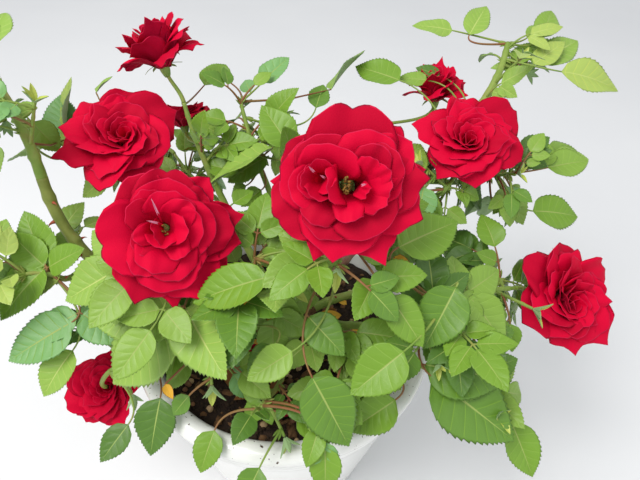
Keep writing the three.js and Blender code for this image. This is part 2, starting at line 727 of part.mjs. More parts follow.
// Leaves by turns of the golden angle along the stem and its twigs
function growLeaves(world, mass, random) {
  const axes = [mass.stem, ...mass.twigs];
  for (let turn = 0; turn < TRIES && mass.leaves.length < mass.wanted; turn++) {
    const curve = axes[turn % axes.length];
    const share = LEAF_FIRST + (1 - LEAF_FIRST) * random();
    const foot = curve.getPoint(share);
    const tangent = curve.getTangent(share);
    const outward = new THREE.Vector3(foot.x, foot.y, 0).normalize();
    const out = around(tangent, GOLDEN * turn + random()).addScaledVector(tangent, LEAF_FORWARD);
    out.addScaledVector(outward, LEAF_OUTWARD).normalize();
    const size = mass.size * (1 - (SHRINK * turn) / TRIES);
    const base = along(foot, out, size * (RACHIS_SHORTEST + RACHIS_VARIATION * random()));
    const sag = DROOP_LEAST + DROOP_VARIATION * random();
    const droop = out.clone().addScaledVector(SKY, -sag).normalize();
    const tip = along(base, droop, size * (LEAFLET_SHORTEST + LEAFLET_VARIATION * random()));
    const count = random() < FIVES_SHARE ? 5 : 3;
    if (tip.distanceTo(mass.centre) < LEAF_REACH) {
      growLeaf(world, mass, foot, base, tip, count, true);
    }
  }
}

function growFoliage(world) {
  for (const [name, base, tip, count] of LEADING_LEAVES) {
    const mass = world.masses[name];
    growLeaf(world, mass, nearestFoot(mass, at(base)), at(base), at(tip), count, false);
  }
  Object.values(world.masses).forEach((mass, index) => {
    const random = seeded(SEED + SEED_STEP * index);
    random();
    growTwigs(world, mass, random);
    growLeaves(world, mass, random);
  });
}

function stemLimb({ stem, radius }, extra) {
  return limb(stem, radius + extra, STEM_TAPER * radius + extra, STEM_SIDES, STEM_STEPS);
}

function massBody(mass) {
  const shapes = [stemLimb(mass, 0)];
  for (const twig of mass.twigs) {
    shapes.push(limb(twig, TWIG_RADIUS, TWIG_TAPER * TWIG_RADIUS, TWIG_SIDES, 1));
  }
  shapes.push(...mass.leaves.map(leafBody));
  return geometryOf(join(shapes));
}

// One lobed skin for the petals: each ring's edge stands over the dish of the one outside it
function petalSkin(bloom) {
  const { middle, axis, radius, openness } = bloom;
  const count = PETALS * PETAL_POINTS;
  const positions = [];
  const faces = [];
  for (const { height, reach, lobe, turn } of PETAL_RINGS) {
    const spread = lobe > 0 ? reach * (1 - CLOSED_REACH * (1 - openness)) : reach;
    const lift = lobe > 0 ? height + CLOSED_LIFT * (1 - openness) * reach : height;
    for (let point = 0; point < count; point++) {
      const notch = (point + turn) % PETAL_POINTS === 0 ? lobe : 0;
      const out = around(axis, (2 * Math.PI * point) / count);
      const place = along(along(middle, axis, lift * radius), out, spread * (1 - notch) * radius);
      positions.push(place.x, place.y, place.z);
    }
  }
  for (let ring = 0; ring < PETAL_RINGS.length - 1; ring++) {
    for (let point = 0; point < count; point++) {
      const next = (point + 1) % count;
      const low = ring * count;
      const high = low + count;
      faces.push(low + point, low + next, high + next, low + point, high + next, high + point);
    }
  }
  const foot = positions.length / 3;
  const footPlace = along(middle, axis, PETAL_RINGS[0].height * radius);
  const eyePlace = along(middle, axis, (EYE_HEIGHT + CLOSED_LIFT * (1 - openness) / 2) * radius);
  positions.push(...footPlace.toArray(), ...eyePlace.toArray());
  const last = (PETAL_RINGS.length - 1) * count;
  for (let point = 0; point < count; point++) {
    const next = (point + 1) % count;
    faces.push(foot, next, point, foot + 1, last + point, last + next);
  }
  return mesh(positions, faces);
}

function bloomBody(bloom, masses) {
  const stalk = limb(bloom.stalk, STALK_RADIUS, STALK_RADIUS, STEM_SIDES, STALK_STEPS);
  const body = join([petalSkin(bloom), stalk]);
  if (bloom.share === 1) {
    return geometryOf(body);
  }
  const room = stemLimb(masses[bloom.mass], GAP);
  return geometryOf(largest(body.subtract(solid(room))));
}

// The limbs that stand before the first leaf grows
function planLimbs(canes, masses, blooms) {
  const limbs = [];
  for (const [owner, cane] of Object.entries(canes)) {
    limbs.push({ points: pointsAlong(cane.curve, 0), radius: cane.footRadius, owner });
  }
  for (const [owner, mass] of Object.entries(masses)) {
    limbs.push({ points: pointsAlong(mass.stem, 0), radius: mass.radius, owner });
  }
  for (const [owner, bloom] of Object.entries(blooms)) {
    limbs.push({ points: pointsAlong(bloom.stalk, STALK_FREE), radius: STALK_RADIUS, owner });
  }
  return limbs;
}

const canes = planCanes();
const masses = planMasses(canes);
const blooms = planBlooms(masses);
growFoliage({ masses, blooms, limbs: planLimbs(canes, masses, blooms), leaflets: [] });

add("pot", potGeometry(), POT_WHITE);
add("soil", soilGeometry(), SOIL_BROWN);
add("crown_stem", crownBody(canes), OLD_WOOD);
for (const [name, cane] of Object.entries(canes)) {
  add(name, caneBody(cane, canes), CANE_GREEN);
}
for (const [name, mass] of Object.entries(masses)) {
  add(name, massBody(mass), LEAF_GREEN);
}
for (const [name, bloom] of Object.entries(blooms)) {
  add(name, bloomBody(bloom, masses), PETAL_RED);
}

export default bush;
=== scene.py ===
# Patio rose bush in its white pot: leaves, canes, blooms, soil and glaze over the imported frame.
# Sizes are in millimetres, as in the part's source, and turn into metres when a mesh is made.
import itertools
import json
import math

import bpy
import numpy as np
from mathutils import Matrix

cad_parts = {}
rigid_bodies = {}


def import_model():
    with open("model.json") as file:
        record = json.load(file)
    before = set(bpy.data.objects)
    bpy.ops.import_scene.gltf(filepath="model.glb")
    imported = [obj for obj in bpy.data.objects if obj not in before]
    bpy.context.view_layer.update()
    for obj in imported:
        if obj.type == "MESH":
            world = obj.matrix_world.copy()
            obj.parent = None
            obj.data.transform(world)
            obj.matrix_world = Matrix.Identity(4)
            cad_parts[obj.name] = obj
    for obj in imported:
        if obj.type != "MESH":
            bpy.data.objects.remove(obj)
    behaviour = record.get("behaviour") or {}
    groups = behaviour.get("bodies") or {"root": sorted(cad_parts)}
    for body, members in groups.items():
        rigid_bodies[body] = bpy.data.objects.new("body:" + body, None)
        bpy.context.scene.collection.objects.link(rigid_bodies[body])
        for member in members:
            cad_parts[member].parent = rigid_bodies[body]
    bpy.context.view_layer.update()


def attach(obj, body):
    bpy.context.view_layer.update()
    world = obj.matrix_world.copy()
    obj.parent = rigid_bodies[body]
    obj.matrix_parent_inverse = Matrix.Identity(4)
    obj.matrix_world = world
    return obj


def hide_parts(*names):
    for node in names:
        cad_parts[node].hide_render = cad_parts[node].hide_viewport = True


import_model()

MM = 0.001

# Pot and soil
RIM_RADIUS, RIM_TOP, RIM_ROLL = 105, 165, 7
BAND_RADIUS, BAND_TOP, BAND_FOOT = 100.5, 151, 138
WALL_TOP_RADIUS, FOOT_RADIUS, INNER_RADIUS, INNER_FOOT_RADIUS = 97, 71, 91, 64
POT_FLOOR, FOOT_CHAMFER, BAND_SLOPE, BAND_DRAFT = 7, 3, 4, 1
SOIL_TOP, GAP = 151, 0.3

# Crown stem
CROWN_FLARE, CROWN_WAIST, CROWN_NECK, FLARE_HEIGHT = 14, 9.5, 7.5, 6
CROWN_TOP = np.array([2.0, -3.0, 170.0])
STUB_REACH, STUB_CORE, STUB_FOOT_EXTRA, STUB_TIP_EXTRA = 20, 3, 1, 0.4

# Leaves: leaflets on a rachis in pairs with one at the end
WIDEST, LEAFLET_RATIO = 0.45, 0.62
RACHIS_RADIUS, RACHIS_BEND = 1.0, 0.45
PAIRS = {5: [0.46, 0.84], 3: [0.7], 1: []}
PAIR_SIZES = {5: [0.7, 0.86], 3: [0.84], 1: []}
PAIR_ANGLE = 1.05
STEM_BEND, STEM_TAPER = 0.5, 0.6
STALK_BEND, STALK_RADIUS, STALK_FREE, HIP_DEPTH = 0.35, 1.5, 0.03, 0.4

# Growth, as in the source
SEED, SEED_STEP, SEED_FACTOR, SEED_PRIME = 20611, 977, 16807, 2147483647
GOLDEN = 2.39996
SKY = np.array([0.0, 0.0, 1.0])
FACING = np.array([0.0, -0.45, 0.89])
LEAVES_PER_TWIG, TWIG_FIRST, TWIG_SPREAD, TWIG_SWING, TWIG_PULL = 2.6, 0.2, 0.7, 2, 0.6
TWIG_LENGTH, TWIG_SHORTEST, TWIG_VARIATION, TWIG_RADIUS = 30, 0.7, 0.5, 1.3
TRIES, LEAF_FIRST, LEAF_FORWARD, LEAF_OUTWARD, LEAF_REACH, SHRINK = 400, 0.25, 0.4, 0.45, 62, 0.35
RACHIS_SHORTEST, RACHIS_VARIATION, DROOP_LEAST, DROOP_VARIATION = 0.6, 0.4, 0.15, 0.35
LEAFLET_SHORTEST, LEAFLET_VARIATION, FIVES_SHARE = 0.85, 0.3, 0.7
FOOT_STEPS, FIRST_FOOT = 10, 2
LIMB_CLEAR, LEAF_CLEAR, EDGE_CLEAR, POT_CLEAR = 0.9, 1.5, 2.6, 2.5
BLOOM_CLEAR, BLOOM_DEPTH, BLOOM_UNDER, BLOOM_AIR, AIR_WIDTH = 3, 0.6, 0.25, 80, 0.92
LEAF_SPACING, SAMPLE_STEP = 12, 2.8
OUTLINE_ACROSS, WIDEST_LIMB = np.array([-0.5, -0.25, 0, 0.25, 0.5]), 5

# Finish: seeds, and measures that only the meshes here have
CANE_SEED, CANE_SEED_STEP, CROWN_SEED, LITTER_SEED, SOIL_SEED = 7001, 131, 4401, 515, 5
FOLIAGE_SEED, FOLIAGE_SEED_STEP, BLOOM_SEED, BLOOM_SEED_STEP = 9001, 211, 3001, 77
FULL_TURN = 6.28
CANE_SIDES, STEM_SIDES, TWIG_SIDES, RACHIS_SIDES = 14, 12, 8, 7
CROWN_SIDES, POT_SIDES, SOIL_SIDES = 28, 128, 120
NODE_SWELLING, NODE_WIDTH, UNEVENNESS, KNOT_LIMIT = 0.22, 0.018, 0.03, 1.06
END_ROUNDING, CANE_LEAD, CANE_STEP, NODE_SPACING, SHOOT_SIZE = 0.6, 2.2, 1.4, 26, 11
SOIL_SUNK, FALLEN_LEAVES, FALLEN_PETALS = 1.6, 16, 7
SEPALS = 5
HIP = [(-4.2, 1.6), (-2.6, 2.5), (0.4, 3.4), (3.2, 3.5), (5.4, 2.6), (7.0, 3.4)]

# Canes: name, what each springs from and how far along it, through, tip, radii
CANES = [
    ("cane_front", "crown", 0, (15, -14, 203), (30, -20, 238), 3.2, 2.2),
    ("cane_left_front", "crown", 0, (-34, -17, 202), (-52, -22, 230), 3.2, 2.2),
    ("cane_thorny_left", "crown", 0, (-110, -2, 200), (-148, 17, 268), 4.4, 3.4),
    ("cane_left_back", "crown", 0, (-28, 32, 200), (-52, 56, 240), 3.2, 2.3),
    ("cane_back", "crown", 0, (-2, 38, 202), (-18, 60, 246), 3.0, 2.0),
    ("cane_top_right", "crown", 0, (72, 62, 212), (132, 108, 270), 4.2, 3.4),
    ("cane_right", "crown", 0, (64, 8, 188), (122, -6, 208), 3.2, 2.2),
    ("cane_right_front", "crown", 0, (42, -24, 188), (78, -42, 214), 3.0, 2.1),
    ("cane_middle", "crown", 0, (-7, -12, 203), (-12, -18, 218), 2.8, 2.0),
    ("cane_heart_left", "crown", 0, (-18, -22, 181), (-34, -36, 192), 2.6, 1.9),
    ("cane_heart_right", "crown", 0, (18, -26, 182), (26, -38, 196), 2.6, 1.9),
    ("cane_left", "cane_left_back", 0.6, (-68, 40, 230), (-92, 44, 258), 2.3, 1.8),
    ("cane_left_side", "cane_thorny_left", 0.66, (-132, -14, 216), (-138, -20, 220), 2.2, 1.8),
    ("cane_left_low", "cane_left_front", 0.25, (-50, -34, 184), (-82, -46, 182), 2.4, 1.8),
    ("cane_front_low", "cane_front", 0.2, (8, -36, 184), (4, -60, 184), 2.2, 1.7),
    ("cane_right_back", "cane_top_right", 0.5, (90, 52, 228), (104, 44, 248), 2.6, 2.0),
    ("cane_far_right", "cane_top_right", 0.7, (124, 78, 234), (138, 76, 238), 2.4, 1.9),
    ("cane_right_low", "cane_right_front", 0.4, (80, -44, 182), (108, -56, 180), 2.2, 1.7),
    ("cane_back_left", "cane_back", 0.3, (-40, 70, 196), (-70, 94, 206), 2.4, 1.8),
    ("cane_back_right", "cane_top_right", 0.3, (52, 80, 200), (54, 108, 208), 2.4, 1.8),
]

# Masses of foliage: name without the foliage_ of its pieces, cane, centre of its space, tip of
# its stem, leaves wanted, length of the leaflet at a leaf's end
MASSES = [
    ("front", "cane_front", (44, -46, 262), (38, -24, 286), 6, 34),
    ("middle", "cane_middle", (-14, -42, 236), (-12, -32, 254), 6, 32),
    ("heart_left", "cane_heart_left", (-44, -50, 204), (-42, -50, 206), 5, 33),
    ("heart_right", "cane_heart_right", (30, -56, 210), (30, -54, 212), 5, 33),
    ("left_front", "cane_left_front", (-70, -38, 236), (-61, -28, 258), 5, 36),
    ("left_low", "cane_left_side", (-152, -26, 223), (-155, -26, 228), 6, 34),
    ("left_top", "cane_thorny_left", (-168, 48, 302), (-182, 58, 320), 5, 32),
    ("left", "cane_left", (-110, 36, 258), (-104, 46, 266), 3, 30),
    ("left_back", "cane_left_back", (-72, 86, 270), (-72, 80, 290), 4, 28),
    ("back", "cane_back", (-16, 70, 274), (-34, 84, 290), 6, 29),
    ("right_back", "cane_right_back", (98, 56, 252), (117, 64, 254), 4, 30),
    ("top_right", "cane_top_right", (164, 140, 306), (161, 154, 310), 6, 34),
    ("far_right", "cane_far_right", (158, 84, 240), (162, 80, 242), 5, 32),
    ("right", "cane_right", (154, 6, 214), (154, -4, 208), 5, 34),
    ("right_front", "cane_right_front", (96, -52, 230), (92, -50, 240), 7, 34),
    ("front_low", "cane_front_low", (-4, -92, 184), (-8, -84, 184), 5, 30),
    ("right_low", "cane_right_low", (130, -66, 176), (132, -66, 178), 4, 30),
    ("left_bottom", "cane_left_low", (-102, -64, 166), (-106, -56, 174), 4, 30),
    ("back_left", "cane_back_left", (-90, 118, 214), (-98, 116, 226), 5, 32),
    ("back_right", "cane_back_right", (52, 132, 214), (52, 136, 230), 5, 32),
]

# Leaves that stand out: mass, foot of the end leaflet, its tip, leaflets
LEADING_LEAVES = [
    ("right_front", (87, -77, 213), (133, -102, 192), 3),
    ("front", (22, -85, 220), (44, -110, 192), 5),
    ("left_front", (-56, -54, 227), (-100, -76, 188), 3),
    ("left_low", (-125, -43, 210), (-168, -63, 187), 5),
    ("left_low", (-144, -19, 228), (-185, -34, 212), 5),
    ("left_low", (-152, 5, 235), (-183, -2, 228), 5),
    ("left_top", (-126, 18, 292), (-132, 48, 323), 3),
    ("left_top", (-190, 78, 322), (-194, 114, 340), 3),
    ("middle", (-2, -58, 267), (-42, -64, 253), 3),
    ("heart_right", (71, -72, 228), (43, -87, 209), 3),
    ("heart_left", (-17, -63, 229), (-40, -76, 209), 3),
    ("heart_left", (1, -68, 224), (-13, -83, 209), 1),
    ("heart_right", (70, -79, 191), (42, -92, 174), 3),
    ("left_front", (-55, -44, 231), (-85, -50, 217), 3),
    ("right_front", (96, -51, 257), (80, -74, 231), 1),
    ("front", (60, -60, 258), (79, -79, 241), 3),
    ("right_front", (110, -39, 237), (133, -59, 217), 5),
    ("right_front", (65, -38, 272), (100, -19, 278), 3),
    ("right", (172, 45, 232), (212, 47, 234), 5),
    ("far_right", (193, 88, 243), (226, 94, 249), 5),
    ("top_right", (119, 161, 316), (88, 159, 322), 3),
    ("top_right", (196, 127, 301), (245, 122, 296), 5),
    ("top_right", (188, 146, 315), (193, 166, 337), 3),
    ("back", (2, 45, 280), (-17, 63, 300), 3),
    ("back", (-21, 102, 296), (-3, 116, 311), 5),
    ("left_bottom", (-71, -73, 176), (-77, -100, 146), 3),
    ("left_bottom", (-89, -86, 140), (-115, -88, 137), 3),
    ("front_low", (-28, -87, 161), (-44, -105, 141), 5),
    ("front_low", (30, -109, 193), (31, -126, 174), 3),
    ("right_low", (141, -80, 169), (160, -104, 142), 3),
    ("right_low", (129, -55, 170), (153, -40, 180), 3),
]

# The finer growth that the source leaves out: size, seed, closer spacing and clearance, and the
# turns over which its leaves shrink
FINE_SIZE, FINE_SEED, FINE_SPACING, FINE_CLEAR, FINE_TRIES = 0.8, 50021, 7, 0.6, 1500

# Its turns that bear a leaf, each with its missing side leaflets as the bits of a number
FINE_TURNS = {
    "front": {8: 0, 19: 0, 21: 0, 32: 0, 635: 5, 1360: 0}, "middle": {21: 0, 32: 0, 660: 0},
    "heart_left": {19: 0, 45: 0, 83: 10, 234: 4, 491: 2, 1223: 15},
    "heart_right": {3: 0, 54: 0, 676: 0}, "left_front": {24: 0, 43: 0},
    "left_low": {16: 2, 25: 5, 201: 0},
    "left_top": {0: 2, 9: 2, 10: 2, 11: 0, 13: 3, 15: 3, 34: 2, 47: 7, 53: 0, 54: 0, 57: 0, 71: 1,
        656: 0},
    "left": {1: 10, 59: 7}, "left_back": {34: 4, 45: 0, 124: 4, 139: 1, 1485: 0},
    "back": {7: 0, 30: 15, 40: 0, 64: 0, 105: 1, 143: 4, 488: 2, 645: 7, 693: 11, 885: 15, 886: 4,
        1005: 7, 1131: 15, 1354: 0},
    "right_back": {9: 0, 11: 0, 25: 1, 32: 0, 37: 6, 64: 0, 138: 0, 161: 1, 166: 0, 330: 10,
        816: 0, 1146: 6, 1271: 1, 1383: 1},
    "top_right": {21: 7, 44: 1, 144: 5, 206: 6, 399: 5, 939: 14, 1189: 2},
    "far_right": {17: 0, 18: 4, 21: 7, 48: 7, 166: 1, 535: 3, 676: 11, 1327: 5, 1494: 0},
    "right": {2: 10, 59: 0, 140: 0, 413: 0, 641: 14, 862: 5, 1122: 1},
    "right_front": {19: 0, 55: 0, 176: 0, 817: 2},
    "front_low": {7: 2, 19: 3, 246: 14, 994: 0, 1260: 0}, "right_low": {12: 0, 56: 0, 86: 0},
    "left_bottom": {184: 15, 838: 9, 895: 0},
    "back_left": {3: 0, 12: 4, 16: 0, 51: 0, 89: 0, 92: 0, 119: 0, 158: 0, 163: 0, 323: 0, 372: 5,
        534: 3, 1161: 0},
    "back_right": {11: 0, 33: 4, 119: 0, 145: 0, 170: 1, 322: 1, 1067: 3, 1260: 0},
}

# Leaves of the source's growth that have lost side leaflets, in the same form, or have fallen,
# so that soil, rim and sky show
BARE = 99
LOST = {
    "front": {2: BARE, 5: BARE, 0: 14}, "heart_left": {3: BARE},
    "heart_right": {0: 3, 1: 5, 2: 1, 3: 1, 4: BARE}, "left_front": {3: 1}, "left_low": {2: BARE},
    "left_top": {0: 2, 1: BARE, 2: BARE, 3: BARE, 4: BARE}, "left": {0: BARE, 1: BARE, 2: BARE},
    "left_back": {0: BARE, 3: 5}, "back": {0: 2, 1: 14, 3: 1, 4: BARE, 5: BARE},
    "right_back": {1: 1, 3: 1}, "top_right": {0: 3, 1: 14, 2: BARE, 3: BARE, 4: BARE, 5: BARE},
    "far_right": {0: 10, 1: BARE, 2: BARE, 3: 1}, "right": {0: BARE, 4: BARE},
    "right_front": {4: BARE, 5: BARE, 0: 2}, "front_low": {1: BARE, 2: BARE, 3: BARE, 4: BARE},
    "right_low": {0: BARE, 3: BARE}, "left_bottom": {0: BARE, 1: BARE},
    "back_left": {0: BARE, 3: 8}, "back_right": {3: 1, 4: BARE},
}

# Leaves on finer twigs: as the leaves that stand out, then missing side leaflets
FINE_LEADING = [
    ("left_low", (-124, -45, 208), (-158, -67, 198), 3, 0),
    ("left_low", (-137, -15, 223), (-171, -31, 214), 3, 0),
    ("left_bottom", (-68, -76, 179), (-72, -103, 158), 1, 0),
    ("left_bottom", (-91, -81, 155), (-105, -101, 145), 3, 1),
    ("front_low", (-34, -91, 171), (-41, -112, 159), 3, 1),
    ("front_low", (29, -107, 195), (31, -123, 178), 1, 0),
    ("left_top", (-155, 63, 264), (-162, 90, 290), 1, 0),
    ("left_top", (-151, 41, 303), (-171, 39, 296), 3, 0),
    ("left_back", (-70, 133, 278), (-56, 156, 289), 3, 1),
    ("right_back", (80, 134, 287), (46, 157, 289), 3, 3),
    ("right_back", (73, 39, 263), (91, 68, 276), 3, 0),
    ("far_right", (177, 55, 227), (219, 61, 222), 1, 0),
    ("far_right", (197, 105, 246), (232, 110, 238), 3, 0),
    ("left_front", (-64, -70, 236), (-80, -92, 222), 3, 0),
    ("left_low", (-137, 14, 228), (-149, -5, 218), 3, 0),
    ("right_front", (91, -49, 218), (115, -27, 227), 3, 0),
    ("middle", (-2, -58, 267), (-46, -62, 251), 1, 0),
    ("left_low", (-148, 14, 228), (-137, 32, 241), 1, 0),
    ("left_low", (-123, -56, 195), (-139, -80, 181), 1, 0),
    ("top_right", (132, 159, 314), (149, 188, 329), 1, 0),
    ("top_right", (187, 158, 314), (201, 187, 330), 1, 0),
    ("top_right", (175, 156, 314), (193, 170, 321), 1, 0),
    ("top_right", (185, 140, 301), (220, 164, 317), 3, 2),
    ("top_right", (164, 144, 300), (188, 158, 311), 1, 0),
    ("top_right", (170, 142, 298), (149, 143, 297), 1, 0),
    ("right_back", (102, 140, 285), (79, 148, 284), 1, 0),
    ("right_back", (112, 145, 287), (94, 154, 290), 1, 0),
    ("back", (17, 114, 272), (22, 134, 283), 1, 0),
    ("far_right", (177, 89, 243), (194, 116, 255), 1, 0),
    ("far_right", (200, 96, 241), (233, 107, 241), 3, 1),
    ("far_right", (153, 56, 230), (177, 71, 234), 1, 0),
    ("right_front", (68, -80, 239), (41, -96, 222), 1, 0),
    ("front", (11, -76, 230), (-13, -87, 218), 1, 0),
    ("right_low", (137, -87, 183), (149, -110, 165), 1, 0),
    ("right", (119, -60, 203), (141, -66, 190), 1, 0),
    ("left_back", (-67, 78, 277), (-47, 77, 268), 1, 0),
    ("back", (-48, 119, 288), (-69, 135, 293), 1, 0),
    ("back", (-15, 63, 260), (-46, 54, 246), 1, 0),
    ("back", (-35, 58, 250), (-61, 65, 252), 1, 0),
    ("back", (-19, 53, 239), (-34, 44, 231), 3, 0),
    ("middle", (-33, 21, 251), (-21, 32, 254), 1, 0),
    ("middle", (-17, 15, 247), (-31, 9, 245), 3, 0),
    ("back", (-31, 60, 237), (-44, 58, 229), 1, 0),
]

# Slots of the leaf materials that follow the eight greens
VEIN_LIGHT, VEIN_DEEP, UNDERSIDE, YELLOW, DRY = range(8, 13)

# Leaves that have turned yellow or dry: mass, foot, tip, colour
TURNED_LEAVES = [
    ("right_front", (64, -34, 261), (75, -41, 257), YELLOW),
    ("heart_left", (-59, -82, 204), (-54, -89, 200), YELLOW),
    ("front", (54, -9, 254), (64, -17, 250), YELLOW),
    ("middle", (-16, -58, 250), (-9, -61, 246), YELLOW),
    ("heart_left", (-7, -46, 206), (-17, -40, 212), DRY),
    ("middle", (2, -47, 217), (-9, -40, 219), YELLOW),
    ("heart_right", (24, -40, 213), (39, -36, 214), YELLOW),
    ("heart_right", (44, -50, 217), (52, -60, 209), YELLOW),
    ("heart_right", (35, -32, 213), (25, -39, 208), DRY),
    ("heart_left", (-30, -43, 170), (-34, -55, 152), DRY),
]

# Leaves seen on edge: mass, foot, tip, facing, tint
LONE_LEAVES = [
    ("back", (28, 131, 279), (51, 166, 300), (-0.82, 0.06, 0.57), 5),
    ("left", (-149, 56, 267), (-158, 98, 299), (-0.72, -0.60, 0.36), 3),
    ("left", (-138, 96, 287), (-130, 109, 295), (-0.59, -0.21, 0.78), 1),
    ("back", (-10, 54, 273), (-56, 34, 257), (-0.40, 0.22, 0.89), 1),
    ("left_top", (-152, 64, 268), (-199, 60, 255), (-0.08, 0.09, 0.99), 1),
]

# Blooms: name, mass and how far along its stem, centre, facing, across, openness
BLOOMS = [
    ("bloom_front", "front", 1, (35, -44, 315), (-0.05, -0.81, 0.58), 72, 1),
    ("bloom_left_front", "left_front", 1, (-56, -40, 280), (0.3, -0.72, 0.63), 72, 1),
    ("bloom_left", "left", 1, (-107, 45, 285), (0.15, -0.45, 0.88), 74, 1),
    ("bloom_left_back", "left_back", 1, (-87, 94, 316), (-0.3, 0.3, 0.9), 50, 0.7),
    ("bloom_left_behind", "left_back", 0.5, (-82, 103, 267), (-0.2, 0.5, 0.84), 42, 0.8),
    ("bloom_right_behind", "back_right", 1, (112, 148, 272), (-0.1, 0.15, 0.98), 46, 0.6),
    ("bloom_right_back", "right_back", 1, (122, 63, 282), (-0.05, -0.45, 0.89), 72, 1),
    ("bloom_right", "right", 1, (189, -7, 204), (0.3, -0.63, 0.71), 66, 0.9),
    ("bloom_left_bottom", "left_bottom", 1, (-125, -44, 134), (0.05, -0.55, 0.83), 54, 0.9),
    ("bloom_back", "back_right", 0.5, (30, 150, 222), (-0.1, 0.7, 0.7), 60, 0.9),
    ("bloom_back_left", "back_left", 1, (-132, 132, 238), (-0.4, 0.45, 0.8), 56, 0.9),
]

# Rings of a full bloom: petals, foot, length and width in radii, lean at foot and rim in
# degrees, cupping, curling back
RINGS = [
    (6, 0.10, 1.14, 1.12, 54, 108, 0.25, 0.10),
    (6, 0.09, 1.02, 1.05, 42, 92, 0.35, 0.14),
    (6, 0.08, 0.92, 0.92, 32, 76, 0.5, 0.16),
    (6, 0.08, 0.84, 0.80, 24, 60, 0.65, 0.16),
    (6, 0.08, 0.76, 0.66, 14, 44, 0.9, 0.14),
    (5, 0.06, 0.70, 0.54, 6, 30, 1.1, 0.12),
    (4, 0.03, 0.62, 0.42, 2, 14, 1.3, 0.06),
]

# Rings of a bloom seen from the side: upright petals, the outer ones spread flat
SIDE_RINGS = [
    (5, 0.10, 1.30, 0.92, 58, 134, 0.4, 0.16),
    (5, 0.09, 1.34, 0.96, 38, 88, 0.5, 0.16),
    (5, 0.08, 1.34, 0.92, 24, 56, 0.6, 0.14),
    (5, 0.08, 1.30, 0.80, 14, 36, 0.8, 0.12),
    (4, 0.06, 1.22, 0.64, 6, 20, 1.1, 0.1),
    (4, 0.03, 1.12, 0.42, 2, 10, 1.3, 0.1),
]

SIDE_BLOOMS = ("bloom_left_back", "bloom_right_behind")

# How much of a bloom's radius the rings take up
RING_SHARE = 0.9
RING_SHARES = {"bloom_left": 0.84, "bloom_right": 1.0, "bloom_right_back": 0.84,
               "bloom_left_bottom": 0.85, "bloom_left_behind": 1.0}
EYE_ASIDE, DARK_SHARE, HALF_OPEN = 0.16, 0.6, 0.35

# Blooms seen full face, petal by petal: foot and tip across the face, heights of foot and rim,
# width, bow, cupping, curling back and point, all in hundredths, the measures of the radius
FRONT_PETALS = [
    (3, 5, 3, 103, -30, -2, 122, 10, 35, 3, 0), (10, 5, 66, 78, -32, -14, 60, 5, 20, 5, 5),
    (15, 5, 80, 58, -28, 0, 78, 8, 30, 6, 8), (10, 0, 104, 12, -28, -2, 90, 10, 30, 6, 12),
    (10, 0, 102, 24, -32, -15, 50, 5, 20, 5, 10), (10, -5, 100, -40, -30, -12, 84, 8, 30, 6, 8),
    (5, -5, 56, -105, -34, -20, 78, 6, 25, 5, 16), (0, -5, -15, -103, -30, -8, 115, 8, 25, 5, 16),
    (-5, -5, -41, -104, -34, -20, 66, 5, 20, 5, 14),
    (-10, 0, -92, -50, -32, -10, 100, 8, 35, 10, 0), (-10, 0, -100, 2, -34, -15, 60, 5, 20, 5, 10),
    (-15, 0, -86, 20, -28, 2, 95, 12, 40, 12, 2), (-15, 5, -82, 50, -32, -12, 80, 6, 30, 6, 4),
    (-15, 5, -50, 68, -30, -5, 66, 6, 30, 8, 4), (10, -10, 42, -62, -24, 8, 95, 14, 45, 14, 3),
    (-10, -10, -32, -70, -24, 6, 74, 14, 40, 14, 3), (15, -5, 70, -22, -24, 6, 70, 14, 45, 14, 5),
    (-20, -5, -42, -46, -22, 20, 56, 14, 60, 30, 0),
    (-25, 3, -70, -12, -22, 15, 66, 14, 60, 16, 0), (-25, 5, -58, 0, -22, 26, 50, 12, 80, 16, 0),
    (-25, 10, -40, 60, -22, 12, 78, 12, 55, 14, 0), (-25, 10, -20, 46, -22, 27, 86, 12, 75, 18, 0),
    (2, -10, 4, -40, -20, 28, 46, 10, 80, 28, 0), (-10, 0, -17, -2, -20, 40, 56, 5, 70, 24, 6),
    (-30, 5, -38, -14, -20, 32, 50, 8, 90, 14, 0), (-32, 6, -54, 8, -20, 32, 42, 8, 90, 12, 0),
    (-33, 8, -36, 26, -20, 34, 44, 6, 90, 12, 0), (-32, 5, -22, -2, -20, 36, 34, 5, 90, 14, 0),
    (20, 5, 26, 68, -22, 14, 84, 12, 60, 16, 0), (22, 5, 60, 40, -22, 20, 66, 12, 60, 16, 0),
    (22, 2, 68, 12, -22, 14, 60, 12, 50, 16, 4), (20, 4, 36, 48, -20, 28, 56, 10, 80, 16, 0),
    (14, 3, 30, 32, -20, 34, 36, 8, 70, 10, 0), (12, -2, 46, -20, -20, 28, 52, 10, 60, 22, 6),
    (16, 0, 50, 2, -20, 34, 44, 8, 70, 22, 0), (20, 2, 46, 18, -20, 38, 34, 5, 80, 18, 0),
    (14, -2, 22, -8, -20, 38, 26, 5, 80, 14, 0),
]
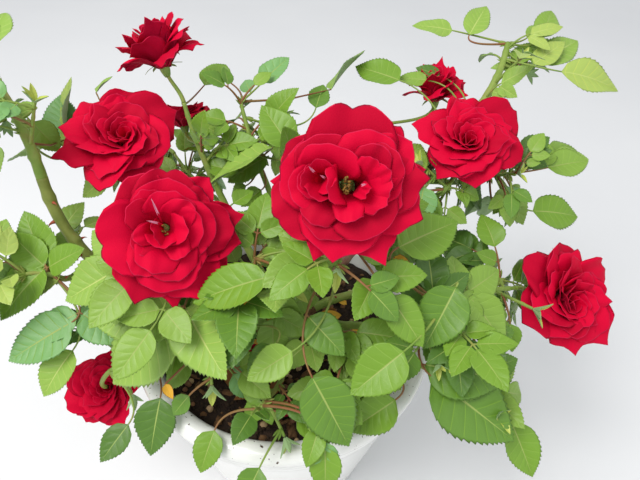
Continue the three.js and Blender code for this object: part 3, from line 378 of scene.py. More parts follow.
LEFT_FRONT_PETALS = [
    (-5, 5, -84, 16, -32, -15, 60, 5, 20, 5, 8), (-5, 8, -52, 74, -30, -6, 85, 8, 30, 6, 5),
    (0, 8, 0, 88, -30, -2, 95, 8, 30, 6, 0), (5, 5, 62, 82, -34, -14, 66, 5, 20, 5, 10),
    (5, 5, 50, 62, -30, -2, 70, 8, 30, 10, 2), (5, 0, 114, 28, -34, -12, 66, 5, 25, 5, 12),
    (5, 0, 98, 8, -28, 2, 85, 12, 35, 8, 2), (5, 0, 112, -16, -32, -8, 80, 6, 25, 5, 12),
    (5, -5, 98, -62, -36, -22, 56, 5, 20, 5, 8), (5, -5, 60, -100, -32, -6, 102, 8, 25, 6, 10),
    (0, -5, 19, -118, -38, -22, 66, 5, 20, 5, 14),
    (-5, -5, -38, -106, -34, -10, 102, 8, 25, 5, 12), (-5, 0, -86, -26, -28, 6, 115, 14, 40, 6, 0),
    (-5, -5, -38, -63, -24, 12, 60, 12, 40, 12, 4), (2, -10, 8, -88, -26, 6, 98, 14, 45, 10, 0),
    (10, -10, 40, -62, -24, 10, 75, 14, 45, 12, 2), (2, -10, 20, -68, -22, 20, 80, 14, 55, 28, 5),
    (-2, -5, -14, -56, -22, 27, 70, 12, 60, 26, 3), (10, -5, 22, -34, -20, 32, 40, 10, 70, 20, 0),
    (8, 2, 68, 12, -24, 18, 84, 14, 55, 22, 3), (8, -2, 56, -22, -24, 16, 60, 14, 55, 22, 0),
    (8, 2, 46, 10, -22, 28, 78, 12, 70, 20, 0), (6, 2, 25, 0, -20, 38, 50, 8, 80, 16, 0),
    (0, 8, 2, 74, -26, 8, 100, 12, 45, 8, 8), (2, 8, 12, 52, -24, 26, 78, 12, 65, 14, 4),
    (4, 6, 30, 38, -22, 30, 52, 10, 70, 14, 0), (-5, 8, -34, 53, -24, 12, 50, 10, 45, 10, 3),
    (-6, 6, -50, 30, -24, 14, 52, 10, 45, 10, 2), (-5, 0, -36, -28, -22, 20, 52, 10, 60, 20, 0),
    (-8, 0, -36, -12, -20, 24, 34, 8, 70, 24, 0), (-4, -2, -2, -20, -20, 32, 50, 8, 70, 14, 2),
    (0, 0, -12, -8, -20, 34, 44, 6, 70, 10, 4),
]
FACED_BLOOMS = {"bloom_front": FRONT_PETALS, "bloom_left_front": LEFT_FRONT_PETALS}
OUTER_FOOT, SLIP_WIDTH = -0.27, 0.03

# Whitish streaks between inner petals: foot and tip across the face, height of the rim
PALE_SLIPS = {
    "bloom_front": [(-0.38, 0.12, -0.46, 0.20, 0.36), (-0.25, 0.07, -0.31, 0.10, 0.4),
                    (0.16, 0.0, 0.22, 0.02, 0.4)],
    "bloom_left_front": [(-0.04, 0.10, -0.18, 0.40, 0.34), (-0.02, 0.08, -0.22, 0.12, 0.36)],
}
STAMENS = {"bloom_front": 26, "bloom_left_front": 9}


# ---- Vectors and curves
def vec(numbers):
    return np.array(numbers, dtype=float)


def unit(vector):
    return vector / math.sqrt(float(vector @ vector))


def square_to(vector, axis):
    return unit(vector - axis * float(vector @ axis))


def any_side(axis):
    helper = SKY if abs(axis[2]) < 0.9 else vec((1, 0, 0))
    return square_to(helper, axis)


def around(axis, angle):
    side = any_side(axis)
    return side * math.cos(angle) + np.cross(axis, side) * math.sin(angle)


def turned(vector, axis, angle):
    sine, cosine = math.sin(angle), math.cos(angle)
    along = axis * float(axis @ vector) * (1 - cosine)
    return vector * cosine + np.cross(axis, vector) * sine + along


def between(low, high, share):
    return low + (high - low) * share


def circle(sides):
    """The angles of evenly spread corners."""
    return np.arange(sides) * 2 * math.pi / sides


def running(steps):
    return np.concatenate([[0], np.cumsum(steps)])


def seeded(seed):
    """Random draws between 0 and 1, as in the source, which throws the first one away."""
    state = seed * SEED_FACTOR % SEED_PRIME

    def draw():
        nonlocal state
        state = state * SEED_FACTOR % SEED_PRIME
        return state / SEED_PRIME

    return draw


class Bezier:
    """A smooth curve of three or four control points, read at shares from 0 to 1."""

    def __init__(self, *controls):
        self.controls = [vec(control) for control in controls]

    def points(self, shares):
        t = np.asarray(shares, dtype=float)[..., None]
        s = 1 - t
        c = self.controls
        if len(c) == 3:
            return s * s * c[0] + 2 * s * t * c[1] + t * t * c[2]
        return s**3 * c[0] + 3 * s * s * t * c[1] + 3 * s * t * t * c[2] + t**3 * c[3]

    point = points

    def tangent(self, share):
        delta = 0.0001
        return unit(self.point(min(1, share + delta)) - self.point(max(0, share - delta)))

    def span(self):
        return float(np.linalg.norm(self.point(0) - self.point(1)))


def arc(start, through, end):
    return Bezier(start, 2 * vec(through) - 0.5 * (vec(start) + vec(end)), end)


# ---- Plan: canes, masses and blooms, as in the source
def plan_canes():
    canes = {}
    for name, parent, share, through, tip, foot_radius, tip_radius in CANES:
        middle = vec(through)
        if parent == "crown":
            start = CROWN_TOP + unit(middle - CROWN_TOP) * STUB_REACH
        else:
            start = canes[parent]["curve"].point(share)
        canes[name] = {"parent": parent, "curve": arc(start, middle, tip),
                       "foot": foot_radius, "tip": tip_radius}
    return canes


def plan_masses(canes):
    masses = {}
    for name, cane, centre, tip, wanted, size in MASSES:
        curve = canes[cane]["curve"]
        axis = curve.tangent(1)
        start = curve.controls[2] + axis * GAP
        bend = start + axis * STEM_BEND * np.linalg.norm(start - vec(tip))
        masses[name] = {"name": name, "centre": vec(centre), "stem": Bezier(start, bend, tip),
                        "wanted": wanted, "size": size, "radius": canes[cane]["tip"],
                        "twigs": [], "leaves": []}
    return masses


def plan_blooms(masses):
    blooms = {}
    for name, mass, share, centre, facing, across, openness in BLOOMS:
        stem = masses[mass]["stem"]
        middle, axis, radius = vec(centre), unit(vec(facing)), across / 2
        base = middle - axis * HIP_DEPTH * radius
        stem_axis = stem.tangent(share)
        start = stem.point(share) + stem_axis * (GAP if share == 1 else 0)
        reach = STALK_BEND * np.linalg.norm(base - start)
        first = start + (stem_axis * reach if share == 1 else (base - start) * STALK_BEND)
        right = square_to(vec((1, 0, 0)), axis)
        blooms[name] = {"middle": middle, "axis": axis, "right": right,
                        "up": np.cross(axis, right), "radius": radius, "openness": openness,
                        "base": base, "stalk": Bezier(start, first, base - axis * reach, base)}
    return blooms


def points_along(curve, first):
    count = math.ceil(curve.span() / SAMPLE_STEP) + 2
    return curve.points([first + (1 - first) * step / count for step in range(count + 1)])


def half_width(reach):
    rising, falling = reach / WIDEST, (1 - reach) / (1 - WIDEST)
    return np.maximum(0, np.where(reach < WIDEST, rising, falling))


class Leaflet:
    """A leaflet's place: its base, tip, frame and the points that stand for its outline."""

    FIELDS = ("base", "axis", "face", "left", "centre")

    def __init__(self, base, tip, normal, owner):
        self.base, self.tip, self.owner = base, tip, owner
        self.length = float(np.linalg.norm(tip - base))
        self.axis = (tip - base) / self.length
        self.face = square_to(normal, self.axis)
        self.left = np.cross(self.face, self.axis)
        self.width = LEAFLET_RATIO * self.length
        count = math.ceil(self.length / SAMPLE_STEP) + 1
        rows = np.arange(count + 1) / count
        wide = half_width(rows) * self.width
        spine = base + rows[:, None] * (tip - base)
        steps = wide[:, None, None] * OUTLINE_ACROSS[None, :, None] * self.left
        self.points = (spine[:, None, :] + steps).reshape(-1, 3)
        self.centre = (base + tip) / 2


class World:
    """What stands already: a leaf or twig grows only where it keeps clear of it."""

    def __init__(self, canes, masses, blooms):
        self.masses, self.blooms, self.leaflets = masses, blooms, []
        self.fields = {name: np.zeros((0, 3)) for name in Leaflet.FIELDS}
        self.lengths, self.widths = np.zeros(0), np.zeros(0)
        self.limb_points, self.limb_radii = np.zeros((0, 3)), np.zeros(0)
        self.limb_ids, self.limb_owners, self.limbs = np.zeros(0, int), np.zeros(0, int), 0
        self.owners = {}
        self.spacing, self.leaf_clear = LEAF_SPACING, LEAF_CLEAR
        for name, cane in canes.items():
            self.add_limb(cane["curve"], cane["foot"], name)
        for name, mass in masses.items():
            self.add_limb(mass["stem"], mass["radius"], name)
        for name, bloom in blooms.items():
            self.add_limb(bloom["stalk"], STALK_RADIUS, name, STALK_FREE)

    def owner(self, name):
        return self.owners.setdefault(name, len(self.owners))

    def add_limb(self, curve, radius, name, first=0):
        points = points_along(curve, first)
        count = len(points)
        self.limb_points = np.vstack([self.limb_points, points])
        self.limb_radii = np.append(self.limb_radii, np.full(count, radius))
        self.limb_ids = np.append(self.limb_ids, np.full(count, self.limbs))
        self.limb_owners = np.append(self.limb_owners, np.full(count, self.owner(name)))
        self.limbs += 1

    def add_leaflets(self, leaflets):
        self.leaflets += leaflets
        for name, rows in self.fields.items():
            self.fields[name] = np.vstack([rows] + [getattr(each, name) for each in leaflets])
        self.lengths = np.append(self.lengths, [leaflet.length for leaflet in leaflets])
        self.widths = np.append(self.widths, [leaflet.width for leaflet in leaflets])

    def touched(self, points, clear, which=slice(None)):
        """Which leaflets some points lie close to, or over and under."""
        base, axis = self.fields["base"][which], self.fields["axis"][which]
        face, left = self.fields["face"][which], self.fields["left"][which]
        length, width = self.lengths[which][:, None], self.widths[which][:, None]
        if len(base) == 0:
            return np.zeros(0, bool)
        reach = (axis @ points.T - np.sum(axis * base, 1)[:, None]) / length
        aside = np.abs(left @ points.T - np.sum(left * base, 1)[:, None])
        height = face @ points.T - np.sum(face * base, 1)[:, None]
        margin = EDGE_CLEAR / length
        inside = (reach > -margin) & (reach < 1 + margin)
        inside &= aside < 0.5 * width * half_width(reach) + EDGE_CLEAR
        return (inside & (height > -clear)).any(1) & (inside & (height < clear)).any(1)

    def has_room(self, points, airy):
        """Whether points keep clear of pot, soil and blooms, and if airy, of the view of them."""
        reach = np.hypot(points[:, 0], points[:, 1])
        floor = np.where(reach > INNER_RADIUS - 2 * POT_CLEAR, RIM_TOP, SOIL_TOP)
        if not np.all((reach > RIM_RADIUS + POT_CLEAR) | (points[:, 2] > floor + POT_CLEAR)):
            return False
        for bloom in self.blooms.values():
            offset = points - bloom["middle"]
            square = np.sum(offset * offset, 1)
            height = offset @ bloom["axis"]
            spread = np.sqrt(np.maximum(0, square - height * height))
            depth = np.where(height > 0, BLOOM_DEPTH, BLOOM_UNDER)
            wide = spread / (bloom["radius"] + BLOOM_CLEAR)
            deep = height / (depth * bloom["radius"] + BLOOM_CLEAR)
            if np.any(wide * wide + deep * deep < 1):
                return False
            if airy:
                forward = offset @ FACING
                aside = np.sqrt(np.maximum(0, square - forward * forward))
                before = (forward > 0) & (forward < BLOOM_AIR)
                if np.any(before & (aside < AIR_WIDTH * bloom["radius"])):
                    return False
        return True

    def leaflet_fits(self, leaflet, airy):
        if not self.has_room(leaflet.points, airy):
            return False
        if self.leaflets:
            apart = np.linalg.norm(self.fields["centre"] - leaflet.centre, axis=1)
            if apart.min() < self.spacing:
                return False
            near = np.nonzero(apart < (leaflet.length + self.lengths) / 2 + EDGE_CLEAR)[0]
            if self.touched(leaflet.points, self.leaf_clear, near).any():
                return False
            if any(touches(self.leaflets[index], leaflet, self.leaf_clear) for index in near):
                return False
        others = self.limb_owners != self.owner(leaflet.owner)
        above, below = sides_of(self.limb_points, leaflet, self.limb_radii + LIMB_CLEAR)
        over, under = (np.bincount(self.limb_ids[others & which], minlength=self.limbs) > 0
                       for which in (above, below))
        return not (over & under).any()

    def limb_fits(self, curve, radius, name):
        points = points_along(curve, 0)
        if not self.has_room(points[2:], False):
            return False
        others = self.limb_owners != self.owner(name)
        centre = points.mean(0)
        span = np.linalg.norm(points - centre, axis=1).max() + radius + LIMB_CLEAR + WIDEST_LIMB
        close = others & (np.abs(self.limb_points - centre).max(1) < span)
        apart = np.linalg.norm(points[:, None, :] - self.limb_points[close][None], axis=2)
        if (apart < radius + self.limb_radii[close][None] + LIMB_CLEAR).any():
            return False
        return not self.touched(points, radius + LIMB_CLEAR).any()


def sides_of(points, leaflet, clear):
    """Which points lie above the leaflet's underside, and which below its upper side."""
    offset = points - leaflet.base
    reach = offset @ leaflet.axis / leaflet.length
    edge = 0.5 * leaflet.width * half_width(reach) + EDGE_CLEAR
    margin = EDGE_CLEAR / leaflet.length
    inside = (reach > -margin) & (reach < 1 + margin) & (np.abs(offset @ leaflet.left) < edge)
    height = offset @ leaflet.face
    return inside & (height > -clear), inside & (height < clear)


def touches(standing, leaflet, clear):
    above, below = sides_of(standing.points, leaflet, clear)
    return above.any() and below.any()


# ---- Growth, as in the source
def grow_leaf(world, mass, foot, base, tip, count, airy, sure=False):
    """One leaf, if it finds room or is sure of its place; its side leaflets may be missing."""
    name = mass["name"]
    axis = unit(tip - base)
    rachis = Bezier(foot, base - axis * RACHIS_BEND * np.linalg.norm(foot - base), base)
    length = float(np.linalg.norm(tip - base))
    end = Leaflet(base, tip, square_to(FACING, axis), name)
    if not sure and not (world.limb_fits(rachis, RACHIS_RADIUS, name)
                         and world.leaflet_fits(end, airy)):
        return False
    sides = []
    for share, size in zip(PAIRS[count], PAIR_SIZES[count]):
        for hand in (1, -1):
            node = rachis.point(share)
            direction = turned(rachis.tangent(share), end.face, hand * PAIR_ANGLE)
            leaflet = Leaflet(node, node + direction * size * length, end.face, name)
            if world.leaflet_fits(leaflet, airy):
                sides.append(leaflet)
    if airy and len(sides) < count / 2:
        return False
    world.add_leaflets([end] + sides)
    world.add_limb(rachis, RACHIS_RADIUS, name)
    mass["leaves"].append({"rachis": rachis, "end": end, "sides": sides})
    return True


def nearest_foot(mass, point):
    feet = [mass["stem"].point(step / FOOT_STEPS) for step in range(FIRST_FOOT, FOOT_STEPS + 1)]
    return min(feet, key=lambda foot: float(np.linalg.norm(foot - point)))


def place_leaf(world, mass, base, tip, count, sure=False):
    """A leaf of the tables, on the stem of its mass."""
    base = vec(base)
    grow_leaf(world, mass, nearest_foot(mass, base), base, vec(tip), count, False, sure)


def grow_twigs(world, mass, draw):
    count = math.floor(mass["wanted"] / LEAVES_PER_TWIG + 0.5)
    for twig in range(count):
        share = TWIG_FIRST + TWIG_SPREAD * (twig + draw()) / count
        foot = mass["stem"].point(share)
        side = around(mass["stem"].tangent(share), GOLDEN * twig + TWIG_SWING * draw())
        direction = unit(side + unit(mass["centre"] - foot) * TWIG_PULL)
        end = foot + direction * TWIG_LENGTH * (TWIG_SHORTEST + TWIG_VARIATION * draw())
        curve = arc(foot, (foot + end) / 2, end)
        if world.limb_fits(curve, TWIG_RADIUS, mass["name"]):
            mass["twigs"].append(curve)
            world.add_limb(curve, TWIG_RADIUS, mass["name"])


def next_leaf(mass, draw, turn, full_size, tries):
    """Foot, base, tip and number of leaflets of the leaf that a turn proposes."""
    axes = [mass["stem"]] + mass["twigs"]
    curve = axes[turn % len(axes)]
    share = LEAF_FIRST + (1 - LEAF_FIRST) * draw()
    foot, tangent = curve.point(share), curve.tangent(share)
    out = around(tangent, GOLDEN * turn + draw()) + tangent * LEAF_FORWARD
    out = unit(out + unit(vec((foot[0], foot[1], 0))) * LEAF_OUTWARD)
    size = full_size * (1 - SHRINK * turn / tries)
    base = foot + out * size * (RACHIS_SHORTEST + RACHIS_VARIATION * draw())
    droop = unit(out - SKY * (DROOP_LEAST + DROOP_VARIATION * draw()))
    tip = base + droop * size * (LEAFLET_SHORTEST + LEAFLET_VARIATION * draw())
    return foot, base, tip, 5 if draw() < FIVES_SHARE else 3


def grow_foliage(world):
    for name, base, tip, count in LEADING_LEAVES:
        place_leaf(world, world.masses[name], base, tip, count)
    for index, mass in enumerate(world.masses.values()):
        draw = seeded(SEED + SEED_STEP * index)
        grow_twigs(world, mass, draw)
        for turn in range(TRIES):
            if len(mass["leaves"]) >= mass["wanted"]:
                break
            foot, base, tip, count = next_leaf(mass, draw, turn, mass["size"], TRIES)
            if np.linalg.norm(tip - mass["centre"]) < LEAF_REACH:
                grow_leaf(world, mass, foot, base, tip, count, True)


def without(leaf, missing):
    """The leaf without the side leaflets that a number's bits name."""
    kept = [side for index, side in enumerate(leaf["sides"]) if not missing >> index & 1]
    return {"rachis": leaf["rachis"], "end": leaf["end"], "sides": kept}


def thinned(world, canes):
    """The same plant without its fallen leaves, ready for the finer growth."""
    fine = World(canes, world.masses, world.blooms)
    fine.spacing, fine.leaf_clear = FINE_SPACING, FINE_CLEAR
    for name, mass in fine.masses.items():
        missing = LOST.get(name, {})
        mass["leaves"] = [without(leaf, missing.get(number, 0))
                          for number, leaf in enumerate(mass["leaves"])
                          if missing.get(number) != BARE]
        for twig in mass["twigs"]:
            fine.add_limb(twig, TWIG_RADIUS, name)
        for leaf in mass["leaves"]:
            fine.add_leaflets([leaf["end"]] + leaf["sides"])
            fine.add_limb(leaf["rachis"], RACHIS_RADIUS, name)
    return fine


def grow_fine_foliage(world):
    for name, base, tip, count, missing in FINE_LEADING:
        leaves = world.masses[name]["leaves"]
        place_leaf(world, world.masses[name], base, tip, count, True)
        leaves[-1] = without(leaves[-1], missing)
    for index, (name, mass) in enumerate(world.masses.items()):
        draw = seeded(FINE_SEED + SEED_STEP * index)
        grown, leaves, size = FINE_TURNS[name], mass["leaves"], mass["size"] * FINE_SIZE
        for turn in range(max(grown) + 1):
            foot, base, tip, count = next_leaf(mass, draw, turn, size, FINE_TRIES)
            if turn in grown and grow_leaf(world, mass, foot, base, tip, count, True):
                leaves[-1] = without(leaves[-1], grown[turn])


# ---- Meshes
class Skin:
    """Gathers points and faces, each face with a material slot, and makes one object of them."""

    def __init__(self):
        self.points, self.faces, self.slots, self.count = [], [], [], 0

    def add(self, points, faces, slots):
        faces = np.asarray(faces)
        self.points.append(np.asarray(points, float))
        self.faces.append(faces + self.count)
        self.slots.append(np.broadcast_to(np.asarray(slots), (len(faces),)))
        self.count += len(points)

    def add_rings(self, rings, foot, tip, slot):
        """A closed form through rings of corners, with a fan of triangles at either end."""
        rows, sides = len(rings), len(rings[0])
        corner = np.arange(sides)
        following = (corner + 1) % sides
        low = (np.arange(rows - 1) * sides)[:, None]
        high = low + sides
        quads = np.stack([low + corner, low + following, high + following, high + corner], -1)
        points = np.vstack(list(rings) + [foot, tip])
        self.add(points, quads.reshape(-1, 4), slot)
        last, first = (rows - 1) * sides, np.full(sides, rows * sides)
        caps = np.vstack([np.stack([first, following, corner], -1),
                          np.stack([first + 1, last + corner, last + following], -1)])
        self.add(np.zeros((0, 3)), caps - len(points), slot)

    def make(self, name, materials, slot, nodes):
        sizes = np.concatenate([np.full(len(faces), faces.shape[1]) for faces in self.faces])
        corners = np.concatenate([faces.ravel() for faces in self.faces])
        points = np.concatenate(self.points) * MM
        data = bpy.data.meshes.new(name)
        data.vertices.add(len(points))
        data.vertices.foreach_set("co", points.ravel())
        data.loops.add(len(corners))
        data.loops.foreach_set("vertex_index", corners.astype(np.int32))
        data.polygons.add(len(sizes))
        data.polygons.foreach_set("loop_start", running(sizes[:-1]).astype(np.int32))
        data.polygons.foreach_set("material_index", np.concatenate(self.slots).astype(np.int32))
        data.update(calc_edges=True)
        data.polygons.foreach_set("use_smooth", np.ones(len(sizes), bool))
        for material in materials:
            data.materials.append(material)
        piece = bpy.data.objects.new(name, data)
        bpy.context.scene.collection.objects.link(piece)
        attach(piece, "root")
        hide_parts(*nodes)


def tube(skin, points, radii, sides, slot=0, relief=1.0, pointed=False):
    """A tapering limb along some points, rounded off at its end, with optional relief."""
    points, radii = np.asarray(points, float), np.asarray(radii, float)
    tangents = np.gradient(points, axis=0)
    tangents /= np.linalg.norm(tangents, axis=1)[:, None]
    side = any_side(tangents[0])
    cosines, sines = np.cos(circle(sides)), np.sin(circle(sides))
    rings = []
    for point, tangent, radius in zip(points, tangents, radii * relief):
        side = square_to(side, tangent)
        rings.append(point + np.outer(cosines * radius, side)
                     + np.outer(sines * radius, np.cross(tangent, side)))
    tip = points[-1] + tangents[-1] * radii[-1] * (0 if pointed else END_ROUNDING)
    skin.add_rings(rings, points[0], tip, slot)


# ---- Leaflets: a toothed, quilted blade with a midrib, veins, margin and paler underside
BLADE, MIDRIB, VEIN, MARGIN, UNDER = range(5)
MIDRIB_EDGE, QUILT_WIDTH = 0.035, 0.865
COLUMNS = [0.0, MIDRIB_EDGE, 0.36, 0.68, 0.93]
LAST_VEIN, VEIN_START, VEIN_THICKNESS, VEIN_TO_CREST = 0.93, 0.45, 0.008, 0.55
TOOTH_PLACE, VEIN_MIDDLE = 0.82, 0.5
TOOTH_FORWARD, TOOTH_SHARE, TOOTH_OUT = 0.012, 0.015, 0.055
EDGE_SWEEP, SWEEP_POWER, QUILT_POWER = 0.17, 0.85, 0.7
OUTLINE_SCALE, OUTLINE_POWER = 2.86, 0.6
BLADE_THICKNESS, BLADE_SPREAD, BLADE_REACH, QUILT_DEPTH = 0.28, 1.02, 0.99, 0.014
FOLD_EASE, SAG_START, TWIST_START, FORESHORTENING = 0.4, 0.25, 0.3, 0.12
WAVES, WAVE_SHIFT = 5.5, 1.3


def vein_rows(veins):
    """Rows along the side veins with their relief, and the margin's places with their teeth."""
    spacing = LAST_VEIN / veins
    rows = [(0.0, 0.0, False)]
    for vein in range(veins):
        start = (vein + VEIN_START) * spacing
        rows += [(start, -1.0, True), (start + VEIN_THICKNESS, -1.0, False),
                 (start + VEIN_TO_CREST * spacing, 1.0, False)]
    rows.append((1.0, 0.0, False))
    share, crest, is_vein = zip(*rows)
    edge_share, tooth = [], []
    for low, high, vein in zip(share, share[1:], is_vein):
        edge_share += [low, low + (VEIN_MIDDLE if vein else TOOTH_PLACE) * (high - low)]
        tooth += [0.0, 0.0 if vein else 1.0]
    return (np.array(share), crest, is_vein,
            np.array(edge_share + [1.0]), np.array(tooth + [0.0]))


def blade_outline(along):
    inside = np.clip(along, 0, 1)
    return OUTLINE_SCALE * inside**OUTLINE_POWER * (1 - inside)


def blade_places(share, column):
    """Where a point lies on the blade, as reach along it and half-width share."""
    edge = share + EDGE_SWEEP * np.sin(math.pi * share)
    reach = share + (np.minimum(edge, 1) - share) * column**SWEEP_POWER
    return reach, column * blade_outline(np.minimum(edge, 1))


def build_template(veins):
    """A leaflet of unit size: reach, width, relief and layer of its points, faces and slots."""
    share, crest, is_vein, edge_share, tooth = vein_rows(veins)
    rows, steps = len(share), len(share) - 1
    points, faces, slots = [], [], []

    def put(*place):
        points.append(place)
        return len(points) - 1

    edge_reach, edge_aside = blade_places(edge_share, np.ones_like(edge_share))
    edge_reach = edge_reach + TOOTH_FORWARD * tooth
    edge_aside = (edge_aside * (1 + TOOTH_SHARE * tooth)
                  + TOOTH_OUT * tooth * np.sin(math.pi * edge_share) ** 0.5)
    for side in (1, -1):
        edge = [put(reach, side * aside, 0.0, 0.0) for reach, aside in zip(edge_reach, edge_aside)]
        for low in (0.0, 1.0):
            top = low == 0.0

            def put_face(corners, slot):
                faces.append(corners[::-1] if (side > 0) == top else corners)
                slots.append(slot if top else UNDER)

            grid = []
            for column in COLUMNS:
                reach, aside = blade_places(share, np.full(rows, column))
                bulge = 0
                if MIDRIB_EDGE < column < MIDRIB_EDGE + QUILT_WIDTH:
                    across = math.pi * (column - MIDRIB_EDGE) / QUILT_WIDTH
                    bulge = math.sin(across) ** QUILT_POWER
                grid.append([put(reach[i], side * aside[i], crest[i] * bulge, low)
                             for i in range(rows)])
            for index, (inner, outer) in enumerate(zip(grid, grid[1:])):
                for step in range(steps):
                    slot = MIDRIB if index == 0 else VEIN if is_vein[step] else BLADE
                    put_face([inner[step], outer[step], outer[step + 1]], slot)
                    put_face([inner[step], outer[step + 1], inner[step + 1]], slot)
            inner = grid[-1]
            for step in range(steps):
                near, tip, far = edge[2 * step:2 * step + 3]
                put_face([inner[step], near, tip], MARGIN)
                put_face([inner[step], tip, inner[step + 1]], MARGIN)
                put_face([inner[step + 1], tip, far], MARGIN)
    return [column.copy() for column in np.array(points).T] + [np.array(faces), np.array(slots)]


VEINS_FROM_LENGTH = {36: 8, 28: 7, 19: 5, 0: 4}
TEMPLATES = {least: build_template(veins) for least, veins in VEINS_FROM_LENGTH.items()}


def add_leaflet(skin, leaflet, slots, shape, width_share=1.0):
    """One leaflet: shape holds its fold, sag, twist, wave and the phase of the wave."""
    length = leaflet.length
    template = next(TEMPLATES[least] for least in VEINS_FROM_LENGTH if length > least)
    reach, aside, relief, lift, faces, face_slots = template
    fold, sag, twist, wave, phase = shape
    x = aside * (0.5 * BLADE_SPREAD * leaflet.width * width_share)
    y = BLADE_REACH * reach * length
    z = (fold * np.abs(x) * (1 - FOLD_EASE * reach) - sag * length * reach**2
         + SAG_START * sag * length * reach)
    z = z + twist * x * (reach - TWIST_START)
    z = z + wave * length * aside**2 * np.sin(WAVES * reach + phase + np.sign(aside) * WAVE_SHIFT)
    z = z + QUILT_DEPTH * length * relief - BLADE_THICKNESS * lift
    y = y - FORESHORTENING * np.abs(z)
    points = (leaflet.base + np.outer(y, leaflet.axis) + np.outer(x, leaflet.left)
              + np.outer(z, leaflet.face))
    skin.add(points, faces, np.asarray(slots)[face_slots])


# ---- Materials
def srgb(hexadecimal):
    values = [int(hexadecimal[i:i + 2], 16) / 255 for i in (0, 2, 4)]
    return [v / 12.92 if v <= 0.04045 else ((v + 0.055) / 1.055) ** 2.4 for v in values] + [1.0]


class Nodes:
    """A material's node tree, with the few helpers that every finish here uses."""

    def __init__(self, name):
        self.material = bpy.data.materials.new(name)
        self.material.use_nodes = True
        self.tree = self.material.node_tree
        self.shader = self.tree.nodes["Principled BSDF"]
        self.place = self.node("ShaderNodeTexCoord").outputs["Object"]

    def node(self, kind, **values):
        made = self.tree.nodes.new(kind)
        for key, value in values.items():
            if hasattr(made, key):
                setattr(made, key, value)
            else:
                self.feed(made.inputs[key.replace("_", " ")], value)
        return made

    def feed(self, target, value):
        if isinstance(value, bpy.types.NodeSocket):
            self.tree.links.new(value, target)
        else:
            target.default_value = value

    def set(self, **values):
        for key, value in values.items():
            self.feed(self.shader.inputs[key.replace("_", " ")], value)

    def noise(self, scale, detail, rough=0.55):
        return self.node("ShaderNodeTexNoise", Vector=self.place, Scale=scale, Detail=detail,
                         Roughness=rough).outputs["Fac"]

    def maths(self, operation, *values):
        made = self.node("ShaderNodeMath", operation=operation)
        for target, value in zip(made.inputs, values):
            self.feed(target, value)
        return made.outputs["Value"]

    def ramp(self, value, stops):
        """Colours, or shares from 0 to 1 between black and white, by their place on the ramp."""
        made = self.node("ShaderNodeValToRGB", Fac=value)
        ramp = made.color_ramp
        while len(ramp.elements) < len(stops):
            ramp.elements.new(0.5)
        for element, (place, colour) in zip(ramp.elements, stops.items()):
            element.position = place
            element.color = srgb(colour) if isinstance(colour, str) else [colour] * 3 + [1.0]
        return made.outputs["Color"]

    def bump(self, height, distance, strength=1.0):
        made = self.node("ShaderNodeBump", Height=height, Strength=strength, Distance=distance)
        self.set(Normal=made.outputs["Normal"])

    def rough(self, value, low, high):
        made = self.node("ShaderNodeMapRange", Value=value, To_Min=low, To_Max=high)
        self.set(Roughness=made.outputs["Result"])

    def grained(self, scale, detail, low, high, bump):
        """The finished material, with one noise for its roughness and its relief."""
        fine = self.noise(scale, detail)
        self.rough(fine, low, high)
        self.bump(fine, bump)
        return self.material


FINE_BUMP = 0.00012


def leaf_finish(name, colour, low, high):
    made = Nodes(name)
    made.set(Base_Color=srgb(colour), Specular_IOR_Level=0.42)
    return made.grained(900, 4, low, high, FINE_BUMP)


def petal_finish(name, colour, sheen, tint):
    made = Nodes(name)
    made.set(Base_Color=srgb(colour), Specular_IOR_Level=0.1, Sheen_Weight=sheen,
             Sheen_Roughness=0.45, Sheen_Tint=srgb(tint))
    return made.grained(1400, 3, 0.58, 0.82, FINE_BUMP)


def bark_finish(name, stops, scale, low, high, bump):
    """Patches of the stops' colours, for bark, stalks, thorns and earth."""
    made = Nodes(name)
    colours = made.ramp(made.noise(scale, 5, 0.6), stops)
    made.set(Base_Color=colours, Specular_IOR_Level=0.35)
    return made.grained(scale * 6, 4, low, high, bump)


GREENS = ["70962a", "8cae48", "5e852a", "a2b858", "74a35e", "80a23c", "507528", "b7c258"]
LEAF_MATERIALS = [leaf_finish(f"leaf_green_{number}", green, 0.34, 0.52)
                  for number, green in enumerate(GREENS)]
LEAF_MATERIALS += [
    leaf_finish("leaf_vein", "b4c26c", 0.42, 0.6),
    leaf_finish("leaf_vein_deep", "93a653", 0.42, 0.6),
    leaf_finish("leaf_underside", "8ca873", 0.6, 0.8),
    leaf_finish("leaf_yellow", "d9a52e", 0.5, 0.7),
    leaf_finish("leaf_dry", "8a5a2c", 0.7, 0.9),
]

STEM_GREEN = bark_finish("stem_green", {0.3: "6f8d35", 0.55: "8ba04a", 0.8: "9a7a48"},
                         60, 0.4, 0.6, 0.0001)
STEM_RED = bark_finish("stem_red", {0.3: "8c4a34", 0.6: "8a6a3c", 0.85: "76893c"},
                       70, 0.4, 0.6, 0.0001)
CANE_OLIVE = bark_finish("cane_olive", {0.3: "6e7a33", 0.6: "8b9247", 0.85: "9a6a4c"},
                         55, 0.4, 0.62, 0.0002)
CANE_PURPLE = bark_finish("cane_purple", {0.3: "6d4a42", 0.6: "83584c", 0.85: "6f7a40"},
                          55, 0.45, 0.65, 0.0002)
OLD_WOOD = bark_finish("old_wood", {0.3: "4a3424", 0.55: "745538", 0.8: "8d7450"},
                       140, 0.7, 0.95, 0.0006)
THORN = bark_finish("thorn_red", {0.3: "9a3f30", 0.7: "b5603f"}, 200, 0.35, 0.5, 0.0001)
SEPAL = bark_finish("sepal_green", {0.3: "6f9140", 0.6: "90aa58", 0.85: "b08a6a"},
                    90, 0.5, 0.7, 0.0001)
